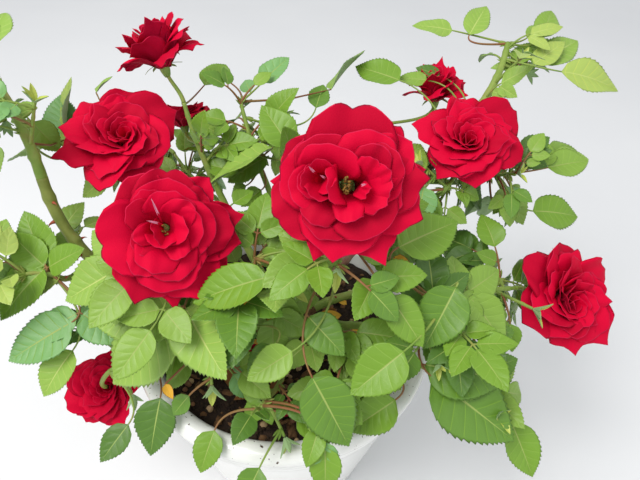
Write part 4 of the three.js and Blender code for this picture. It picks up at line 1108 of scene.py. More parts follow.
STAMEN_GOLD = bark_finish("stamen_gold", {0.35: "94782e", 0.7: "4d3116"}, 700, 0.6, 0.8, 0.0001)

# The lighter, pinker edge colour is a painted sheen along each petal's rim
PETALS = [
    petal_finish("petal_crimson", "d00032", 0.04, "ff3058"),
    petal_finish("petal_deep_tone_and_painted_shade", "ba002b", 0.04, "ff3058"),
    petal_finish("petal_painted_sheen_edge", "cc1c44", 0.05, "ff6080"),
    petal_finish("petal_foot", "dc8ca8", 0.1, "ffd0dc"),
    petal_finish("petal_back", "ba0c38", 0.06, "ff5070"),
    petal_finish("petal_dark_edge", "981030", 0.04, "ff5070"),
]
CRIMSON, DEEP_TONE_AND_PAINTED_SHADE, PAINTED_SHEEN_EDGE, FOOT, BACK, DARK_EDGE = range(6)
# Deep crimson is a petal's own deeper tone, and also painted shade in the rows near each petal's
# foot
TONES = [CRIMSON, CRIMSON, DEEP_TONE_AND_PAINTED_SHADE]


# ---- Petals
U_STEPS, V_STEPS = 14, 11
PETAL_THICKNESS, STRAIGHT = 0.3, 1e-6
CLAW, BROADEST, SWELL_POWER, TOP_NARROWING, TOP_SPAN = 0.2, 0.72, 0.9, 0.16, 0.28
RIM_FALL, RIM_POWER, RIM_WAVE, RIM_WAVES = 0.2, 2.3, 0.015, 7
POINT_NARROWNESS, POINT_POWER, NOTCH_NARROWNESS, CUP_EASE = 2.2, 1.5, 5, 0.35
ROLL_START, ROLL_STEEPNESS = 0.55, 2.75
RIPPLE, RIPPLES, FINE_RIPPLE, FINE_RIPPLES = 0.032, 4.2, 0.016, 9
GRID_U, GRID_V = (grid.ravel() for grid in np.meshgrid(
    np.linspace(-1, 1, U_STEPS + 1),
    np.concatenate([np.linspace(0, 0.93, V_STEPS), [0.98, 1.0]]), indexing="xy"))
GRID_COLUMNS, GRID_ROWS = U_STEPS + 1, V_STEPS + 2


def petal_faces():
    """Faces of both sides of a petal, which share the points of its border, and their cells."""
    cells = [(row, column) for row in range(GRID_ROWS - 1) for column in range(GRID_COLUMNS - 1)]
    total = GRID_COLUMNS * GRID_ROWS
    front, back = [], []
    for row, column in cells:
        low = row * GRID_COLUMNS + column
        high = low + GRID_COLUMNS
        quad = [low, low + 1, high + 1, high]
        front.append(quad)
        back.append([corner if on_border(corner) else corner + total for corner in quad[::-1]])
    return np.array(front), np.array(back), cells


def on_border(corner):
    row, column = divmod(corner, GRID_COLUMNS)
    return row in (0, GRID_ROWS - 1) or column in (0, GRID_COLUMNS - 1)


PETAL_FRONT, PETAL_BACK, PETAL_CELLS = petal_faces()


def face_point(bloom, x, y):
    return bloom["right"] * x + bloom["up"] * y


def add_petal(skin, bloom, origin, azimuth, profile, width, cup, curl, draw, point=0.1,
              colour=CRIMSON, pale=False, dark=False, notch=0.0, skew=0.0, rolled=0.16):
    """One petal along a profile of reach and height; it cups across and curls back at its rim."""
    radius, axis = bloom["radius"], bloom["axis"]
    out = face_point(bloom, math.cos(azimuth), math.sin(azimuth))
    aside = face_point(bloom, -math.sin(azimuth), math.cos(azimuth))
    reach, height = profile
    line = np.linspace(0, 1, len(reach))
    length = float(np.sum(np.hypot(np.diff(reach), np.diff(height))))
    slope_r, slope_z = np.gradient(reach, line), np.gradient(height, line)
    size = np.hypot(slope_r, slope_z)
    u, v = GRID_U, GRID_V
    wavy = draw() * FULL_TURN
    pointed = np.maximum(0, 1 - np.abs(u) * POINT_NARROWNESS) ** POINT_POWER
    rim = 1 - RIM_FALL * np.abs(u) ** RIM_POWER + point * pointed
    notched = np.maximum(0, 1 - np.abs(u) * NOTCH_NARROWNESS)
    s = v * (rim - notch * notched + RIM_WAVE * np.sin(RIM_WAVES * u + wavy))
    swell = np.sin(0.5 * math.pi * np.minimum(1, v / BROADEST)) ** SWELL_POWER
    swell = CLAW + (1 - CLAW) * swell
    swell = swell * (1 - TOP_NARROWING * np.maximum(0, v - BROADEST) / TOP_SPAN)
    half = 0.5 * width * swell
    over = np.maximum(0, s - 1)
    normal_r, normal_z = -np.interp(s, line, slope_z / size), np.interp(s, line, slope_r / size)
    bend = u * swell * cup * (1 - CUP_EASE * v)
    bend = np.where(np.abs(bend) < STRAIGHT, STRAIGHT, bend)
    lateral = u * half * np.sin(bend) / bend
    dish = u * half * (1 - np.cos(bend)) / bend
    roll = curl * length * (ROLL_STEEPNESS * np.maximum(0, v - ROLL_START) ** 2
                            + rolled * np.abs(u) ** 4 * v)
    ripple = (RIPPLE * length * v**2 * np.sin(RIPPLES * u + wavy)
              + FINE_RIPPLE * length * v * np.sin(FINE_RIPPLES * u + 2 * wavy))
    push = dish - roll + ripple + skew * u * half * v
    centre = (bloom["middle"] + bloom["right"] * origin[0] * radius
              + bloom["up"] * origin[1] * radius)
    r_all = np.interp(s, line, reach) + over * slope_r[-1] + push * normal_r
    z_all = np.interp(s, line, height) + over * slope_z[-1] + push * normal_z
    front = centre + np.outer(r_all, out) + np.outer(z_all, axis) + np.outer(lateral, aside)
    back = (front - np.outer(PETAL_THICKNESS * normal_r, out)
            - np.outer(PETAL_THICKNESS * normal_z, axis))
    slots = []
    for row, column in PETAL_CELLS:
        # The rim row, on both faces: a painted sheen, or on some outer petals a darker edge
        if row == GRID_ROWS - 2:
            slots.append(DARK_EDGE if dark and 3 < column < GRID_COLUMNS - 5 else PAINTED_SHEEN_EDGE)
        # Rows near the foot: painted shade in deep crimson, or the pale foot on inner petals
        elif row < 5:
            slots.append(FOOT if pale and row < 3 else DEEP_TONE_AND_PAINTED_SHADE)
        else:
            slots.append(colour)
    slots += [PAINTED_SHEEN_EDGE if row == GRID_ROWS - 2 else BACK for row, _ in PETAL_CELLS]
    skin.add(np.vstack([front, back]), np.vstack([PETAL_FRONT, PETAL_BACK]), slots)


PROFILE_LINE = np.linspace(0, 1, 33)


def leaning(foot, base, length, low, high):
    """A profile that leaves the foot at one lean from the axis and reaches another at its rim."""
    lean = low + (high - low) * PROFILE_LINE**1.5
    reach, height = (running((wave(lean[1:]) + wave(lean[:-1])) / 2) / (len(lean) - 1)
                     for wave in (np.sin, np.cos))
    return foot + reach * length, base + height * length


def bowed(reach, base, top, bow):
    """A profile from the foot's height to the rim's, bowed towards the viewer."""
    line = PROFILE_LINE
    middle_r, middle_z = 0.5 * reach - bow * (top - base), 0.5 * (base + top) + bow * reach
    across = 2 * line * (1 - line) * middle_r + line**2 * reach
    return across, (1 - line) ** 2 * base + 2 * line * (1 - line) * middle_z + line**2 * top


def faced_bloom(skin, bloom, petals, draw):
    radius = bloom["radius"]
    for petal in petals:
        x0, y0, x1, y1, base, top, width, bow, cup, curl, point = (part / 100 for part in petal)
        reach = math.hypot(x1 - x0, y1 - y0) / (1 + point)
        profile = bowed(reach * radius, base * radius, top * radius, bow)
        outer = base < OUTER_FOOT
        shade = TONES[int(draw() * len(TONES))]
        add_petal(skin, bloom, (x0, y0), math.atan2(y1 - y0, x1 - x0), profile, width * radius,
                  cup, curl, draw, point, shade, dark=outer and draw() < DARK_SHARE,
                  notch=0.05 if point == 0 and outer else 0, skew=0.16 * (draw() - 0.5))


def pale_slips(skin, bloom, slips, draw):
    """Narrow whitish streaks where inner petals meet."""
    radius = bloom["radius"]
    for x0, y0, x1, y1, top in slips:
        reach = math.hypot(x1 - x0, y1 - y0) * radius
        profile = bowed(reach, (top - 0.2) * radius, top * radius, 0.1)
        add_petal(skin, bloom, (x0, y0), math.atan2(y1 - y0, x1 - x0), profile,
                  SLIP_WIDTH * radius, 0.3, 0.05, draw, 0.1, FOOT)


def ring_bloom(skin, bloom, rings, draw, share):
    radius, openness = share * bloom["radius"], bloom["openness"]
    close = HALF_OPEN + (1 - HALF_OPEN) * openness
    turn, eye_turn = draw() * FULL_TURN, draw() * FULL_TURN
    for number, (count, foot, length, width, low, high, cup, curl) in enumerate(rings):
        turn += 0.45 + 0.3 * draw()
        aside = EYE_ASIDE * (number / (len(rings) - 1))
        origin = (aside * math.cos(eye_turn), aside * math.sin(eye_turn))
        for index in range(count):
            azimuth = turn + 2 * math.pi * (index + 0.5 * (draw() - 0.5)) / count
            stretch = (0.88 + 0.2 * draw()) * (1 + 0.12 * (1 - openness))
            spread = 0.9 + 0.18 * draw()
            profile = leaning(foot * radius, -0.38 * radius, length * stretch * radius,
                              math.radians(low * close), math.radians(high * close * spread))
            add_petal(skin, bloom, origin, azimuth, profile,
                      width * (0.85 + 0.3 * draw()) * radius, cup * (1 + 0.3 * (1 - openness)),
                      curl * (0.6 + 0.8 * draw()), draw,
                      0.14 * draw() + 0.03 if number < 4 else 0.04,
                      TONES[int(draw() * len(TONES))], pale=number > 4,
                      dark=number < 2 and draw() < DARK_SHARE, skew=0.35 + 0.5 * (draw() - 0.5),
                      rolled=0.5 * draw() if number < 5 else 0.1)


def add_blade(skin, foot, direction, face, length, width, droop, slot, steps=7):
    """A narrow closed blade that curls as it goes, for sepals and stipules."""
    aside = np.cross(face, direction)
    rows = np.linspace(0, 1, steps + 1)
    angle = droop * rows
    forward = running(np.cos(angle[1:])) / steps * length
    down = running(np.sin(angle[1:])) / steps * length
    half = 0.5 * width * np.sin(math.pi * (0.14 + 0.86 * rows)) ** 0.8
    half[-1] = 0.05
    centre = foot + np.outer(forward, direction) - np.outer(down, face)
    left, right = centre + np.outer(half, aside), centre - np.outer(half, aside)
    points = np.stack([left, centre + face * 0.18, right, centre - face * 0.22], 1).reshape(-1, 3)
    faces = []
    for low in range(0, 4 * steps, 4):
        for side in range(4):
            one, other = low + side, low + (side + 1) % 4
            faces.append([one, one + 4, other + 4, other])
    last = 4 * steps
    faces += [[0, 1, 2, 3], [last + 3, last + 2, last + 1, last]]
    skin.add(points, faces, slot)


def add_calyx(skin, bloom, draw):
    """Stalk, rounded hip and five long sepals below the petals."""
    stalk, axis, base = bloom["stalk"], bloom["axis"], bloom["base"]
    shares = np.linspace(-0.02, 1, 22)
    radii = np.interp(shares, [0, 0.8, 1], [STALK_RADIUS, 1.25, 1.7])
    tube(skin, stalk.points(shares), radii, 10, 0)
    tube(skin, [base + axis * height for height, _ in HIP], [wide for _, wide in HIP], 12, 1)
    turn = draw() * FULL_TURN
    for index in range(SEPALS):
        azimuth = turn + index * 2 * math.pi / SEPALS
        out = face_point(bloom, math.cos(azimuth), math.sin(azimuth))
        lean = math.radians(70 + 50 * bloom["openness"] * draw())
        direction = unit(out * math.sin(lean) + axis * math.cos(lean))
        face = unit(axis * math.sin(lean) - out * math.cos(lean))
        length = (0.42 + 0.12 * draw()) * bloom["radius"]
        add_blade(skin, base + axis * 4.5 + out * 2.6, direction, face, length, 4.2,
                  0.9 * draw(), 1)


def add_stamens(skin, bloom, draw, count):
    """Threads with their heads, in a narrow eye."""
    axis, radius = bloom["axis"], bloom["radius"]
    for _ in range(count):
        angle, reach = draw() * FULL_TURN, math.sqrt(draw()) * 0.11 * radius
        out = bloom["right"] * math.cos(angle) * 0.4 + bloom["up"] * math.sin(angle)
        foot = bloom["middle"] - axis * 0.3 * radius + out * 0.5 * reach
        top = bloom["middle"] + axis * (0.04 + 0.1 * draw()) * radius + out * reach
        tube(skin, [foot, (foot + top) / 2 + out * 0.6, top], [0.22, 0.2, 0.16], 5, 1)
        head = unit(vec((draw() - 0.5, draw() - 0.5, draw() - 0.5)))
        tube(skin, [top + head * place for place in (-0.7, -0.35, 0.35, 0.7)],
             [0.25, 0.5, 0.5, 0.25], 6, 0)


# ---- Growing the plant
canes = plan_canes()
masses = plan_masses(canes)
blooms = plan_blooms(masses)
world = World(canes, masses, blooms)
grow_foliage(world)
grow_fine_foliage(thinned(world, canes))


# ---- Canes and the old stem
THORNS, FEW_THORNS = {"cane_thorny_left": 11, "cane_top_right": 7}, 3
BARKS = {"cane_thorny_left": CANE_OLIVE, "cane_top_right": CANE_PURPLE}


def limb_relief(draw, shares, nodes):
    """Swollen rings where leaves have grown, over a slightly uneven bark."""
    relief = np.ones_like(shares)
    for index in range(nodes):
        centre = (index + 0.4 + 0.3 * draw()) / nodes
        relief += NODE_SWELLING * np.exp(-((shares - centre) / NODE_WIDTH) ** 2)
    return relief * (1 + UNEVENNESS * np.sin(41 * shares + 6 * draw()))


def add_thorn(skin, place, out, back, size):
    """A prickle: a broad foot and a hooked point."""
    points = [place - out * 0.6, place + out * 0.35 * size,
              place + out * 0.75 * size - back * 0.12 * size,
              place + out * size - back * 0.4 * size]
    radii = [share * size for share in (0.34, 0.2, 0.1, 0.02)]
    tube(skin, points, radii, 7, 1, pointed=True)


def cane_piece(name, cane, index):
    draw = seeded(CANE_SEED + CANE_SEED_STEP * index)
    skin = Skin()
    curve, foot, tip = cane["curve"], cane["foot"], cane["tip"]
    length = curve.span()
    lead = -CANE_LEAD / length if cane["parent"] == "crown" else 0.0
    shares = np.linspace(lead, 1 + 0.6 / length, max(24, int(length / CANE_STEP)))
    nodes = max(2, round(length / NODE_SPACING))
    radii = between(foot, tip, np.clip(shares, 0, 1))
    tube(skin, curve.points(shares), radii, CANE_SIDES, 0, limb_relief(draw, shares, nodes))
    thorns = THORNS.get(name, FEW_THORNS)
    for number in range(thorns):
        share = 0.15 + 0.8 * (number + 0.6 * draw()) / thorns
        out, along = around(curve.tangent(share), GOLDEN * number + draw()), curve.tangent(share)
        size = 3.6 + 1.6 * draw() if thorns > FEW_THORNS else 2.2 + draw()
        place = curve.point(share) + out * between(foot, tip, share) * 0.95
        add_thorn(skin, place, out, along, size)
    skin.make(f"{name}_bark", [BARKS.get(name, STEM_GREEN), THORN], "cane", (name,))


def crown_piece():
    """The old stem with its knots, and the stubs that the canes spring from."""
    draw = seeded(CROWN_SEED)
    skin = Skin()
    heights = np.linspace(0, CROWN_TOP[2] - SOIL_TOP, 26)
    share = heights / heights[-1]
    waist = FLARE_HEIGHT / heights[-1]
    radii = np.interp(share, [0, 0.5 * waist, waist, 0.6, 0.9, 1],
                      [CROWN_FLARE, CROWN_WAIST + 2, CROWN_WAIST + 1,
                       CROWN_NECK + 1.2, CROWN_NECK + 0.6, CROWN_NECK])
    foot = vec((0, 0, SOIL_TOP))
    centres = np.outer(share**1.2, CROWN_TOP - foot) + foot
    angles = circle(CROWN_SIDES)
    rings = []
    for height, wide, centre in zip(heights, radii, centres):
        knots = (1 + 0.06 * np.sin(5 * angles + 0.2 * height)
                 + 0.04 * np.sin(11 * angles - 0.3 * height))
        knots = knots + 0.03 * np.sin(0.9 * height + 3 * angles)
        radius = wide * np.minimum(knots, KNOT_LIMIT)
        rings.append(centre + flat_ring(angles, radius, 0))
    skin.add_rings(rings, centres[0], CROWN_TOP + SKY * 1.5, 0)
    for cane in canes.values():
        if cane["parent"] == "crown":
            axis = cane["curve"].tangent(0)
            start = cane["curve"].controls[0]
            stub = Bezier(CROWN_TOP - SKY * STUB_CORE, start - axis * STUB_REACH / 2, start)
            shares = np.linspace(0, 1, 16)
            radii = cane["foot"] + STUB_FOOT_EXTRA + (STUB_TIP_EXTRA - STUB_FOOT_EXTRA) * shares
            radii = radii * (1 + 0.05 * np.sin(9 * shares + 5 * draw()))
            tube(skin, stub.points(shares), radii, CANE_SIDES)
    skin.make("crown_stem_bark", [OLD_WOOD], "old_wood", ("crown_stem",))


def flat_ring(angles, radius, height):
    """A ring of corners about the upright axis, at one height or at a height each."""
    x, y = np.cos(angles) * radius, np.sin(angles) * radius
    return np.stack([x, y, np.broadcast_to(height, x.shape)], 1)


for index, (name, cane) in enumerate(canes.items()):
    cane_piece(name, cane, index)
crown_piece()


# ---- Foliage pieces: twigs and leaves of each mass
YOUNG = 7
# Lighter greens for the top-right mass and the masses of the lit side: painted light
TOP_RIGHT_PAINTED_LIGHT_TINTS = [5, 1, 1, 3]
COMMON_TINTS = [0, 0, 1, 2, 2, 5, 5, 0, 4, 6]
LIT_SIDE_PAINTED_LIGHT_TINTS = [1, 1, 5, 3, 4, 0, 1]
LIT_SIDE = ("left_low", "left_top", "left", "left_front")
LIGHT_GREENS = (1, 3, 7)
SIDE_VEINS = [5, 3, 0, 7, 0, 1, 2, 3]
SET_TINTS = {("right_front", 6): 0}
SET_WIDTHS = {("middle", 6): 0.76}
TURNED_SHAPE, LONE_SHAPE = (0.5, 0.3, 0.4, 0.08, 1), (0.3, 0.12, 0.15, 0.05, 1)


def leaf_shape(draw):
    fold = 0.10 + 0.28 * draw()
    sag = 0.05 + 0.22 * draw()
    return fold, sag, 0.25 * (draw() - 0.5), 0.035 + 0.03 * draw(), FULL_TURN * draw()


def leaf_slots(tint):
    midrib = VEIN_LIGHT if tint in LIGHT_GREENS else VEIN_DEEP
    return [tint, midrib, SIDE_VEINS[tint], tint, UNDERSIDE]


def leaf_stalks(skin, leaf, slot):
    """The leaf's rachis with its two stipules, and the short stalks of its side leaflets."""
    rachis = leaf["rachis"]
    shares = np.linspace(-0.01, 1.0, 16)
    radii = np.interp(shares, [0, 0.08, 0.9, 1], [1.25, 0.85, 0.55, 0.5])
    tube(skin, rachis.points(shares), radii, RACHIS_SIDES, slot)
    axis = rachis.tangent(0.1)
    face = square_to(leaf["end"].face, axis)
    aside = np.cross(face, axis)
    length = min(5.5, 0.3 * rachis.span())
    for hand in (1, -1):
        foot = rachis.point(0.02) + aside * hand * 0.8
        add_blade(skin, foot, unit(axis + aside * hand * 0.22), face, length, 1.7, 0.2, 0, 4)
    for leaflet in leaf["sides"]:
        foot = leaflet.base - leaflet.axis * 0.3
        points = [foot, foot + leaflet.axis * 1.2, foot + leaflet.axis * 2.6]
        tube(skin, points, [0.5, 0.45, 0.4], 6, slot)


def shifted(leaflet, distance):
    base = leaflet.base + leaflet.axis * distance
    return Leaflet(base, leaflet.tip, leaflet.face, leaflet.owner)


def add_shoot(skin, tip, axis, draw):
    """Young leaves at a stem's end: a small tuft of narrow folded leaflets."""
    for number in range(4):
        out = unit(around(axis, GOLDEN * number + draw()) * 0.7 + axis)
        base = tip + out
        end = base + out * SHOOT_SIZE * (0.7 + 0.5 * draw())
        leaflet = Leaflet(base, end, unit(axis + out * 0.3 - out), "shoot")
        add_leaflet(skin, leaflet, leaf_slots(YOUNG), (0.7, 0.05, 0.1, 0.02, draw() * 6), 0.62)


def lone_leaf(twigs, mass, base, tip, facing):
    """A single leaf on a stalk of its own."""
    base = vec(base)
    foot = nearest_foot(mass, base)
    points = [foot, (foot + base) / 2 - SKY * 3, base]
    tube(twigs, points, [0.9, 0.7, 0.5], RACHIS_SIDES, 1)
    return Leaflet(base, vec(tip), vec(facing), mass["name"])


def foliage_piece(index, name, mass):
    draw = seeded(FOLIAGE_SEED + FOLIAGE_SEED_STEP * index)
    leaves, twigs = Skin(), Skin()
    stem = mass["stem"]
    length = stem.span()
    shares = np.linspace(-1.2 / length, 1 + 0.4 / length, 26)
    radii = mass["radius"] * between(1, STEM_TAPER, np.clip(shares, 0, 1))
    tube(twigs, stem.points(shares), radii, STEM_SIDES, 0, limb_relief(draw, shares, 3))
    for twig in mass["twigs"]:
        steps = np.linspace(0, 1, 14)
        tube(twigs, twig.points(steps), 1.25 - 0.35 * steps, TWIG_SIDES, 0,
             limb_relief(draw, steps, 2))
        add_shoot(leaves, twig.point(1), twig.tangent(1), draw)
    smooth = name == "top_right"
    # Top-right and lit-side masses draw from lighter greens, as painted light
    choices = TOP_RIGHT_PAINTED_LIGHT_TINTS if smooth else LIT_SIDE_PAINTED_LIGHT_TINTS if name in LIT_SIDE else COMMON_TINTS
    for number, leaf in enumerate(mass["leaves"]):
        tint = choices[int(draw() * len(choices))]
        slots = leaf_slots(SET_TINTS.get((name, number), tint))
        leaf_stalks(twigs, leaf, 1 if draw() < 0.45 else 0)
        for leaflet in [leaf["end"]] + [shifted(side, 1.8) for side in leaf["sides"]]:
            width = 0.82 if smooth else 0.98 + 0.14 * draw()
            width = SET_WIDTHS.get((name, number), width)
            add_leaflet(leaves, leaflet, slots, leaf_shape(draw), width)
    for owner, base, tip, colour in TURNED_LEAVES:
        if owner == name:
            leaflet = lone_leaf(twigs, mass, base, tip, FACING)
            add_leaflet(leaves, leaflet, [colour] * 3 + [DRY, colour], TURNED_SHAPE, 0.9)
    for owner, base, tip, facing, tint in LONE_LEAVES:
        if owner == name:
            leaflet = lone_leaf(twigs, mass, base, tip, facing)
            add_leaflet(leaves, leaflet, leaf_slots(tint), LONE_SHAPE)
    node = f"foliage_{name}"
    leaves.make(f"{node}_leaves", LEAF_MATERIALS, "foliage", (node,))
    twigs.make(f"{node}_twigs", [STEM_GREEN, STEM_RED], "foliage", (node,))


def bloom_piece(index, name, bloom):
    draw = seeded(BLOOM_SEED + BLOOM_SEED_STEP * index)
    petals, green = Skin(), Skin()
    if name in FACED_BLOOMS:
        faced_bloom(petals, bloom, FACED_BLOOMS[name], draw)
        pale_slips(petals, bloom, PALE_SLIPS[name], draw)
    else:
        rings = SIDE_RINGS if name in SIDE_BLOOMS else RINGS
        ring_bloom(petals, bloom, rings, draw, RING_SHARES.get(name, RING_SHARE))
    petals.make(f"{name}_petals", PETALS, "bloom", (name,))
    add_calyx(green, bloom, draw)
    green.make(f"{name}_calyx", [STEM_GREEN, SEPAL], "bloom", (name,))
    if name in STAMENS:
        stamens = Skin()
        add_stamens(stamens, bloom, draw, STAMENS[name])
        stamens.make(f"{name}_stamens", [STAMEN_GOLD, PETALS[FOOT]], "bloom", (name,))


for index, (name, mass) in enumerate(masses.items()):
    foliage_piece(index, name, mass)
for index, (name, bloom) in enumerate(blooms.items()):
    bloom_piece(index, name, bloom)


# ---- Pot and soil
def pot_finish():
    """White glaze with fine specks of dirt, more of them towards the rim."""
    made = Nodes("pot_white_glaze")
    specks = made.noise(420, 2, 0.5)
    patches = made.noise(18, 4, 0.6)
    height = made.node("ShaderNodeSeparateXYZ", Vector=made.place).outputs["Z"]
    rimward = made.node("ShaderNodeMapRange", Value=height, From_Min=0.12,
                        From_Max=RIM_TOP * MM, To_Min=0.0, To_Max=0.12).outputs["Result"]
    lifted = made.maths("ADD", specks, rimward)
    dirt = made.ramp(made.maths("MULTIPLY_ADD", patches, 0.22, lifted), {0.90: 0.0, 0.93: 1.0})
    glaze = made.ramp(patches, {0.3: "f2f2ef", 0.7: "e6e5df"})
    mix = made.node("ShaderNodeMix", data_type="RGBA", Factor=dirt, A=glaze, B=srgb("4a3424"))
    made.set(Base_Color=mix.outputs["Result"])
    made.rough(patches, 0.16, 0.3)
    made.bump(made.noise(26, 2), 0.0004, 0.35)
    made.set(Coat_Weight=0.4, Coat_Roughness=0.08, Specular_IOR_Level=0.5)
    return made.material


def pot_piece():
    """The pot turned about its axis: foot, tapered wall, band, rolled rim and hollow."""
    roll_top, roll_radius = RIM_TOP - RIM_ROLL, RIM_RADIUS - RIM_ROLL
    band_foot_radius, wall_top = BAND_RADIUS - BAND_DRAFT, BAND_FOOT - BAND_SLOPE
    profile = [(FOOT_RADIUS - FOOT_CHAMFER, 0), (FOOT_RADIUS - 0.9, 0.9),
               (FOOT_RADIUS, FOOT_CHAMFER)]
    profile += [(between(FOOT_RADIUS, WALL_TOP_RADIUS, share),
                 between(FOOT_CHAMFER, wall_top, share)) for share in np.linspace(0.08, 1, 12)]
    profile += [(WALL_TOP_RADIUS + 0.4, BAND_FOOT - 2.6), (band_foot_radius - 0.4, BAND_FOOT - 0.8),
                (band_foot_radius + 0.3, BAND_FOOT + 0.8), (BAND_RADIUS - 0.2, BAND_FOOT + 4),
                (BAND_RADIUS, BAND_TOP - 4), (BAND_RADIUS - 0.6, BAND_TOP - 1)]
    for step in range(19):
        angle = math.radians(-45 + 225 * step / 18)
        profile.append((roll_radius + RIM_ROLL * math.cos(angle),
                        roll_top + RIM_ROLL * math.sin(angle)))
    profile += [(INNER_RADIUS - 0.4, roll_top - 5), (INNER_RADIUS - 2, roll_top - 14),
                (INNER_FOOT_RADIUS, POT_FLOOR)]
    skin = Skin()
    rings = [flat_ring(circle(POT_SIDES), radius, height) for radius, height in profile]
    skin.add_rings(rings, [0, 0, 0], [0, 0, POT_FLOOR], 0)
    skin.make("pot_glazed", [pot_finish()], "pot", ("pot",))


def soil_pieces():
    """The uneven soil, and what lies on it; every random number here comes from one generator."""
    generator = np.random.default_rng(SOIL_SEED)
    rows = 46
    share = (SOIL_TOP - GAP - POT_FLOOR) / (RIM_TOP - RIM_ROLL - POT_FLOOR)
    wall = between(INNER_FOOT_RADIUS, INNER_RADIUS, share) - 2 * GAP
    phase = generator.uniform(0, FULL_TURN, 12)
    angles = circle(SOIL_SIDES)

    def height(x, y):
        rough = 0.9 * np.sin(0.09 * x + phase[0]) * np.sin(0.11 * y + phase[1])
        rough += (0.7 * np.sin(0.31 * x + 0.2 * y + phase[2])
                  * np.sin(0.27 * y - 0.12 * x + phase[3]))
        rough += 0.4 * np.sin(0.9 * x + phase[4]) * np.sin(0.8 * y + phase[5])
        return SOIL_TOP - SOIL_SUNK + rough

    def ground(angle, radius):
        x, y = radius * math.cos(angle), radius * math.sin(angle)
        return vec((x, y, float(height(np.array(x), np.array(y)))))

    rings = [flat_ring(angles, INNER_FOOT_RADIUS - 1, POT_FLOOR + 1.0)]
    for row in range(rows):
        radius = wall * (1 - row / rows) ** 0.9
        x, y = radius * np.cos(angles), radius * np.sin(angles)
        z = height(x, y) + generator.uniform(-0.5, 0.5, len(angles))
        rings.append(np.stack([x, y, np.minimum(z, SOIL_TOP + 1.2)], 1))
    skin = Skin()
    skin.add_rings(rings, [0, 0, POT_FLOOR + 1.0], [0, 0, SOIL_TOP - SOIL_SUNK], 0)
    earth = bark_finish("soil_dark", {0.3: "1d130d", 0.55: "2f2118", 0.8: "4a3423"},
                        160, 0.75, 0.98, 0.0012)
    skin.make("soil_surface", [earth], "soil", ("soil",))
    crumbs(generator, wall, ground)
    litter(generator, wall, ground)


GOLD = (1 + 5**0.5) / 2
ICOSAHEDRON = np.array([corner for one in (-1, 1) for two in (-GOLD, GOLD)
                        for corner in ((0, one, two), (one, two, 0), (two, 0, one))])
ICOSAHEDRON = ICOSAHEDRON / math.sqrt(1 + GOLD**2)


def hull_faces(points):
    """Triangles of the icosahedron: every three corners that are neighbours."""
    near = np.linalg.norm(points[:, None] - points[None], axis=2) < 1.1
    faces = []
    for a, b, c in itertools.combinations(range(12), 3):
        if near[a, b] and near[b, c] and near[a, c]:
            normal = np.cross(points[b] - points[a], points[c] - points[a])
            faces.append([a, b, c] if normal @ points[a] > 0 else [a, c, b])
    return np.array(faces)


ICOSAHEDRON_FACES = hull_faces(ICOSAHEDRON)


def rounded_stone():
    """The icosahedron with each face cut in four, for the smoother pebbles."""
    points, faces, found = [tuple(point) for point in ICOSAHEDRON], [], {}

    def middle(a, b):
        key = (min(a, b), max(a, b))
        if key not in found:
            found[key] = len(points)
            points.append(tuple(unit(vec(points[a]) + vec(points[b]))))
        return found[key]

    for a, b, c in ICOSAHEDRON_FACES:
        ab, bc, ca = middle(a, b), middle(b, c), middle(c, a)
        faces += [[a, ab, ca], [ab, b, bc], [ca, bc, c], [ab, bc, ca]]
    return np.array(points), np.array(faces)


CRUMB, CHIP, TAN_PEBBLE, BROWN_PEBBLE = range(4)
CRUMBS, CRUMB_SHARE, CHIP_SHARE = 1500, 0.72, 0.93


def crumbs(generator, wall, ground):
    """Crumbs of soil, flat bark chips and smooth pebbles."""
    skin = Skin()
    stone = rounded_stone()
    uniform = generator.uniform
    for _ in range(CRUMBS):
        place = ground(uniform(0, FULL_TURN), wall * 0.97 * math.sqrt(uniform(0, 1)))
        kind = uniform(0, 1)
        if kind < CRUMB_SHARE:
            size = uniform(0.7, 2.0)
            scale, slot = uniform(0.6, 1.2, 3) * size, CRUMB
        elif kind < CHIP_SHARE:
            size = uniform(1.5, 4.2)
            scale, slot = np.array([1.6, 0.8, 0.35]) * size * uniform(0.7, 1.1, 3), CHIP
        else:
            size = uniform(1.5, 2.9)
            scale = uniform(0.75, 1.05, 3) * size
            slot = TAN_PEBBLE if uniform() < 0.6 else BROWN_PEBBLE
        lean = generator.normal(size=(3, 3))
        axes, _ = np.linalg.qr(lean * 0.35 + np.eye(3) if slot == CHIP else lean)
        spin = uniform(0, FULL_TURN)
        cosine, sine = math.cos(spin), math.sin(spin)
        spin_axes = np.array([[cosine, -sine, 0], [sine, cosine, 0], [0, 0, 1]])
        smooth = slot in (TAN_PEBBLE, BROWN_PEBBLE)
        source, faces = stone if smooth else (ICOSAHEDRON, ICOSAHEDRON_FACES)
        uneven = 0.06 if smooth else 0.28
        jitter = 1 + uniform(-uneven, uneven, len(source))
        points = (source * jitter[:, None] * scale) @ axes.T @ spin_axes.T
        if np.linalg.det(axes) < 0:
            faces = faces[:, ::-1]
        points = points + (place + SKY * (0.25 * scale.min()))
        if np.hypot(points[:, 0], points[:, 1]).max() < wall + 0.6:
            skin.add(points, faces, slot)
    materials = [
        bark_finish("crumb_dark", {0.3: "20150e", 0.7: "40301f"}, 300, 0.8, 0.98, 0.0003),
        bark_finish("bark_chip", {0.3: "4e331f", 0.7: "83603d"}, 260, 0.7, 0.95, 0.0003),
        bark_finish("pebble_tan", {0.3: "a98a63", 0.7: "c8ab83"}, 240, 0.5, 0.8, 0.0001),
        bark_finish("pebble_brown", {0.3: "6e4a34", 0.7: "8d6546"}, 240, 0.5, 0.8, 0.0001),
    ]
    skin.make("soil_crumbs", materials, "soil", ("soil",))


